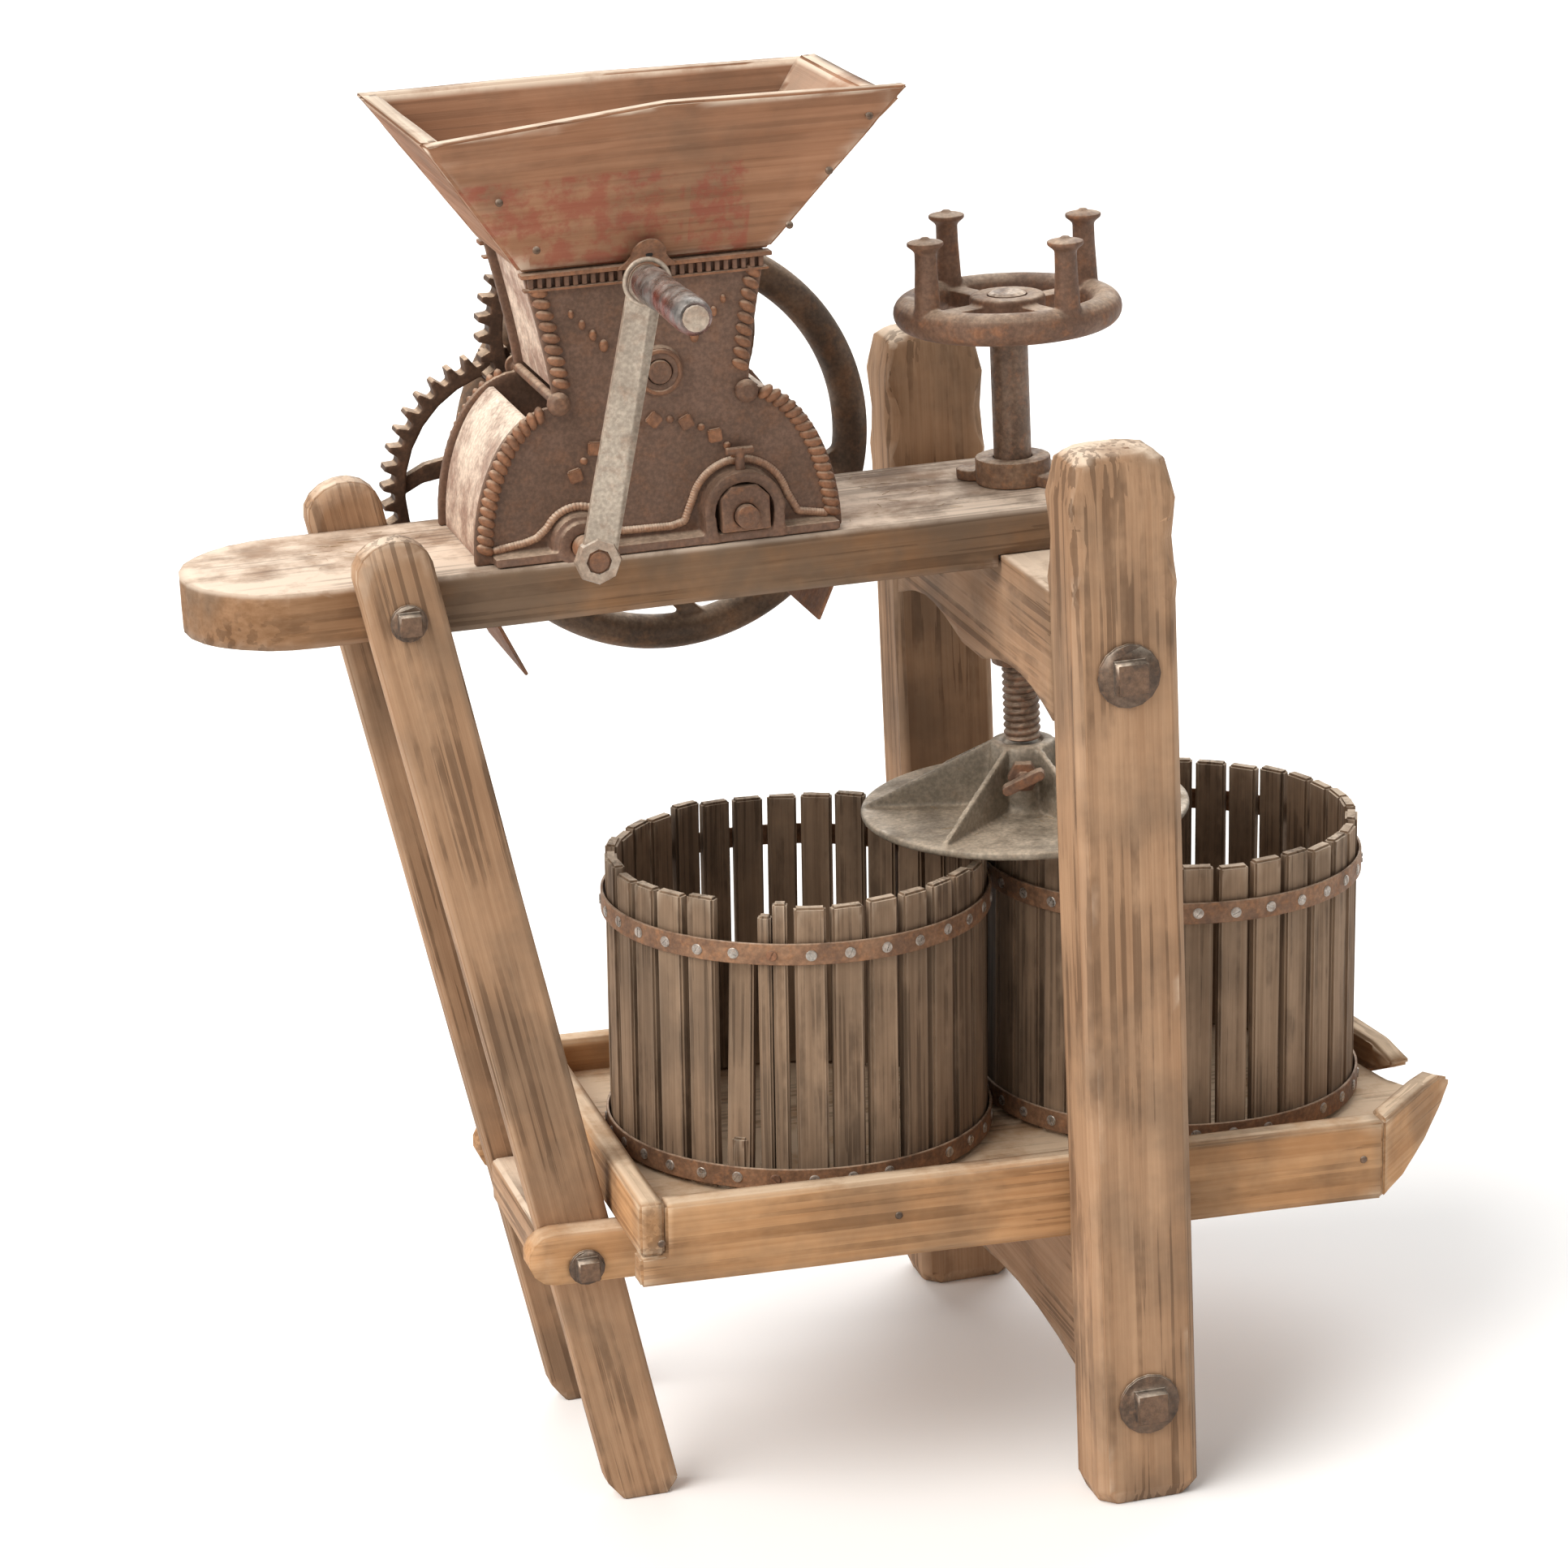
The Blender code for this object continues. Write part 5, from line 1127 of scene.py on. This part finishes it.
# %% [markdown]
# ## Tubs
# Each tub is a ring of thirty-two slats inside two bands, with a slotted screw at every slat save
# one in the lower band. Every slat has its own height, lean and grain. One slat at the front of
# the left tub is broken and leans inwards, and its neighbour is split.

# %% Slats and bands
TRAY_PIVOT = Vector((SCREW_X, 0, 0.2617))
TUB_X = (-0.0356, 0.3237)
BAND_LEVELS = {"bottom": 0.005, "top": 0.216}
BAND_OUTER, BAND_THICKNESS, BAND_WIDTH = 0.1775, 0.0022, 0.0195
SLATS, SLAT_OUTER, SLAT_THICKNESS, TUB_HEIGHT = 32, 0.1743, 0.0125, 0.2728
SLAT_FOOT = 0.0005                # clearance under the slats
BROKEN_SLAT, SPLIT_SLAT = 21, 22  # counted from +X in the left tub
MISSING_SCREW = (26, "bottom")


def tub_place(x):
    """Matrix from a tub's own frame to its place on the tilted tray."""
    return (Matrix.Translation(TRAY_PIVOT) @ Matrix.Rotation(TRAY_TILT, 4, "Y")
            @ Matrix.Translation((x - SCREW_X, 0, 0.0167)))


def add_slat(store, place, angle, width, foot, height, lean, seed):
    """Add one weathered slat's points, faces and grain to the store."""
    bm = bmesh.new()
    inner = SLAT_OUTER - SLAT_THICKNESS
    block(bm, (inner, SLAT_OUTER - 0.0009), (-width / 2, width / 2), (foot, height))
    top = [v for v in bm.verts if v.co.z > height - 1e-5]
    for vert in top:
        vert.co.z -= 0.0016 * (0.5 + 0.5 * noise.noise(Vector((seed, vert.co.x * 90, vert.co.y * 70))))
    bmesh.ops.bevel(bm, geom=bm.edges[:], offset=0.0021, segments=2, affect="EDGES")
    axes = (Vector((0, 0, 1)), Vector((0, 1, 0)), Vector((1, 0, 0)))
    slice_up(bm, axes[0], 0.011)
    slice_up(bm, axes[1], 0.0055)
    slice_up(bm, axes[2], 0.0055)
    bmesh.ops.recalc_face_normals(bm, faces=bm.faces[:])
    grain = weather(bm, axes, seed, 0.0006, 0.0007)
    hinge = Vector((inner, 0, foot))
    turn = (Matrix.Translation(hinge) @ Matrix.Rotation(-lean, 4, "Y") @ Matrix.Translation(-hinge))
    bmesh.ops.transform(bm, matrix=place @ Matrix.Rotation(angle, 4, "Z") @ turn, verts=bm.verts[:])
    first = len(store["points"])
    bm.verts.index_update()
    store["points"] += [tuple(v.co) for v in bm.verts]
    store["faces"] += [[first + v.index for v in f.verts] for f in bm.faces]
    store["grain"] += grain
    bm.free()


def make_tub(word, x):
    """Slats, bands and screws of one tub."""
    place = tub_place(x)
    body = "tub_" + word
    store = {"points": [], "faces": [], "grain": []}
    full = 2 * SLAT_OUTER * math.sin(math.pi / SLATS * 0.87) - 0.0004
    broken, split = (BROKEN_SLAT, SPLIT_SLAT) if word == "left" else (None, None)
    for k in range(SLATS):
        angle = math.tau * k / SLATS
        seed = k * 1.7 + x * 31
        height = TUB_HEIGHT - dice.uniform(0.0, 0.0065)
        lean = math.radians(dice.uniform(0.0, 0.25))
        width = full - dice.uniform(0.0, 0.0018)
        if k == broken:
            add_slat(store, place, angle, width * 0.86, SLAT_FOOT, 0.226, math.radians(4.2), seed)
            add_slat(store, place, angle + 0.004, width * 0.5, SLAT_FOOT, 0.051, 0.0, seed + 5)
        elif k == split:
            for part, offset in ((0.44, -0.26), (0.48, 0.24)):
                add_slat(store, place, angle + offset * width / SLAT_OUTER, width * part, SLAT_FOOT,
                         height - 0.012 * (offset < 0), lean, seed + offset)
        else:
            add_slat(store, place, angle, width, SLAT_FOOT, height, lean, seed)
    mesh = bpy.data.meshes.new("slats_" + word)
    mesh.from_pydata(store["points"], [], store["faces"])
    made = bpy.data.objects.new("slats_" + word, mesh)
    bpy.context.scene.collection.objects.link(made)
    add_grain(made, store["grain"])
    dress(made, slat_wood, body, ["tub_slats_" + word])
    print(made.name, len(mesh.polygons), "faces")
    heads, rusty_heads = [], []
    for level, foot in BAND_LEVELS.items():
        bm = bmesh.new()
        low, high, inner = foot, foot + BAND_WIDTH, BAND_OUTER - BAND_THICKNESS
        turned(bm, [(inner, low), (BAND_OUTER - 0.0005, low), (BAND_OUTER, low + 0.0006),
                    (BAND_OUTER, high - 0.0006), (BAND_OUTER - 0.0005, high), (inner, high)], 160,
               "Z", closed=True)
        bmesh.ops.transform(bm, matrix=place, verts=bm.verts[:])
        band = piece_from("band_" + level + "_" + word, bm)
        dress(band, hoop_rust, body, ["tub_hoop_" + level + "_" + word])
        for k in range(SLATS):
            angle = math.tau * k / SLATS
            if (k, level) == MISSING_SCREW:
                continue
            turn = place.to_3x3() @ Matrix.Rotation(angle, 3, "Z") @ Matrix.Rotation(math.pi / 2, 3, "Y")
            turn = turn @ Matrix.Rotation(dice.uniform(0, math.pi), 3, "Z")
            rise = dice.uniform(-0.0012, 0.0012)
            spot = place @ Vector(((BAND_OUTER - 0.0001) * math.cos(angle),
                                   (BAND_OUTER - 0.0001) * math.sin(angle),
                                   (low + high) / 2 + rise))
            chosen = rusty_heads if k % 9 == 4 else heads
            chosen.append((tuple(spot), tuple(turn.to_euler()), (0.0050, 0.0050, 0.0042)))
    copies("screws_" + word, SCREW_HEAD, heads, bright_steel, body)
    copies("rusty_screws_" + word, SCREW_HEAD, rusty_heads, rusty_iron, body)


for word, x in zip(("left", "right"), TUB_X):
    make_tub(word, x)

# %% [markdown]
# ## Crank arm and grip
# The arm is a flat zinc-coated bar with a curled rim where the grip sits and an octagonal boss
# on the shaft. The grip is dark, worn steel tube with what is left of a red stripe.

# %% Crank
GRIP_LOW, GRIP_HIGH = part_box("crank_grip")
GRIP_AXIS = (JOINT_PLACES["grip_spin"][0], JOINT_PLACES["grip_spin"][2])
ARM_FACE, ARM_BACK = -0.1530, -0.1465
polished("crank_arm", zinc, "crank_train", 0.0012)
bm = bmesh.new()
turned(bm, [(0.0112, ARM_FACE - 0.0022), (0.0190, ARM_FACE - 0.0022), (0.0205, ARM_FACE + 0.0005),
            (0.0205, ARM_BACK), (0.0112, ARM_BACK)], 8, "Y", (CRANK_AXIS[0], 0, CRANK_AXIS[1]),
       closed=True)
dress(piece_from("arm_boss", bm), zinc, "crank_train", (), 30)
bm = bmesh.new()
ring(bm, 0.0192, 0.0022, "Y", ARM_FACE + 0.0004, GRIP_AXIS, 64, 12)
dress(piece_from("arm_rim", bm), zinc, "crank_train", (), 60)
red_wear = iron("worn_red_grip", (0.115, 0.105, 0.098), (0.20, 0.045, 0.030), (0.24, 0.21, 0.19),
                (0.62, 0.57, 0.52), rusting=0.35, dusting=0.6, metallic=0.65, roughness=0.33, scale=20)
bm = bmesh.new()
inner, outer = 0.0065, (GRIP_HIGH.x - GRIP_LOW.x) / 2 - 0.0002
front, back = GRIP_LOW.y + 0.0002, GRIP_HIGH.y - 0.0002
turned(bm, [(inner, front), (outer - 0.0035, front), (outer - 0.0010, front + 0.003),
            (outer, front + 0.018), (outer - 0.0012, (front + back) / 2), (outer, back - 0.018),
            (outer - 0.0010, back - 0.003), (outer - 0.003, back), (inner, back)], 48, "Y",
       (GRIP_AXIS[0], 0, GRIP_AXIS[1]), closed=True)
dress(piece_from("grip_tube", bm), red_wear, "grip", ["crank_grip"], 50)
print("crank done")

# %% [markdown]
# ## Faded motif, nails and litter
# The front board of the hopper carries the worn remains of a red painted strip, drawn in the
# material from the board's own coordinates. Nails show in the front boards of the hopper and the
# tray. Straw lies on the plank and on the press plate.

# %% Motif, nails and litter
def faded_strip(material, centre, notch_width, fade, reach):
    """Copy of a wood material with a worn red strip on its outer face.

    The sums stay between 0 and 1. So the strip runs on to the left of the centre and down to the
    board's foot. It fades above the centre, ends at its reach on the right, and has one notch.
    """
    made = material.copy()
    made.name = "marked_hopper_wood"
    tree = made.node_tree
    shader = tree.nodes["Principled BSDF"]
    wood_colour = shader.inputs["Base Color"].links[0].from_socket
    place = tree.nodes.new("ShaderNodeTexCoord")
    split = tree.nodes.new("ShaderNodeSeparateXYZ")
    tree.links.new(place.outputs["Object"], split.inputs[0])
    right = maths(tree, "SUBTRACT", split.outputs["X"], centre[0])
    rise = maths(tree, "SUBTRACT", split.outputs["Z"], centre[1])
    share = maths(tree, "FRACT", maths(tree, "DIVIDE", right, notch_width))
    notch = maths(tree, "MULTIPLY", maths(tree, "SUBTRACT", share, 0.5), 2.0)
    bare = maths(tree, "ADD", notch, maths(tree, "DIVIDE", rise, fade))
    painted = between(tree, bare, 0.62, 0.78, 1.0, 0.0)
    within = between(tree, right, reach - 0.002, reach, 1.0, 0.0)
    worn = grainy(tree, place.outputs["Object"], 42.0, 6, 0.7)
    facing = tree.nodes.new("ShaderNodeSeparateXYZ")
    tree.links.new(tree.nodes.new("ShaderNodeNewGeometry").outputs["True Normal"], facing.inputs[0])
    outside = between(tree, facing.outputs["Y"], -0.5, -0.3, 1.0, 0.0)
    mask = maths(tree, "MULTIPLY", maths(tree, "MULTIPLY", painted, within),
                 between(tree, worn, 0.44, 0.62, 0.0, 0.55))
    mask = maths(tree, "MULTIPLY", mask, outside)
    tree.links.new(mixed(tree, mask, wood_colour, (0.27, 0.055, 0.038, 1)),
                   shader.inputs["Base Color"])
    return made


marked = faded_strip(hopper_wood, (MILL_X, 1.190), 0.036, 0.026, 0.090)
bpy.data.objects["hopper_board_front_wood"].data.materials[0] = marked

HOPPER_FOOT_Y = 0.102             # outer face of the hopper's front board at its foot
NAIL_SIZE = 0.0036
TRAY_SLOPE = 0.033
nails = []
low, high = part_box("hopper_board_front")
flare = abs(low.y) - HOPPER_FOOT_Y
lean = math.atan2(flare, high.z - low.z)
for hand in (-1, 1):
    for share in (0.16, 0.48, 0.80):
        reach = HALF_TOP + ((high.x - low.x) / 2 - HALF_TOP) * share - 0.013
        spot = ((low.x + high.x) / 2 + hand * reach, -(HOPPER_FOOT_Y + flare * share) + 0.0012,
                low.z + (high.z - low.z) * share)
        nails.append((spot, (math.pi / 2 - lean, 0, 0), (NAIL_SIZE, NAIL_SIZE, 0.0014)))
low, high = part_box("tray_side_front")
for share in (0.03, 0.34, 0.66, 0.97):
    x = low.x + (high.x - low.x) * share
    nails.append(((x, low.y + 0.0002, (low.z + high.z) / 2 - TRAY_SLOPE * (x - SCREW_X)),
                  (math.pi / 2, 0, 0), (NAIL_SIZE, NAIL_SIZE, 0.0012)))
copies("nails", BEAD, nails, bolt_iron, "frame", 60)


def litter(name, spots, body, material, sizes):
    """Scattered slivers that lie flat at the given heights."""
    points = []
    for count, x, y, level in spots:
        for _ in range(count):
            size = dice.uniform(*sizes)
            points.append(((dice.uniform(*x), dice.uniform(*y), level + size * 0.05),
                           (dice.uniform(-0.12, 0.12), dice.uniform(-0.10, 0.10),
                            dice.uniform(0, math.tau)), (size, size * 0.8, size)))
    copies(name, STRAW, points, material, body, 60)


straw_tone = iron("dry_straw", (0.42, 0.29, 0.15), (0.56, 0.42, 0.24), (0.26, 0.15, 0.07),
                  (0.72, 0.58, 0.40), rusting=0.5, dusting=0.5, metallic=0.0, roughness=0.85, scale=60)
plank_top = PLANK_TOP + 0.0002
litter("plank_straw", [(26, (-0.445, -0.335), (-0.085, 0.085), plank_top),
                       (30, (0.02, 0.135), (-0.085, 0.085), plank_top)],
       "frame", straw_tone, (0.0025, 0.0070))
plate_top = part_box("press_plate")[0].z + 0.0086
litter("plate_straw", [(34, (SCREW_X - 0.10, SCREW_X + 0.10), (-0.09, 0.09), plate_top)],
       "press_plate", straw_tone, (0.0025, 0.0065))
for spare in (BEAD, BLOCK, SCREW_HEAD, STRAW):
    bpy.data.objects.remove(spare, do_unlink=True)
print("all pieces done")
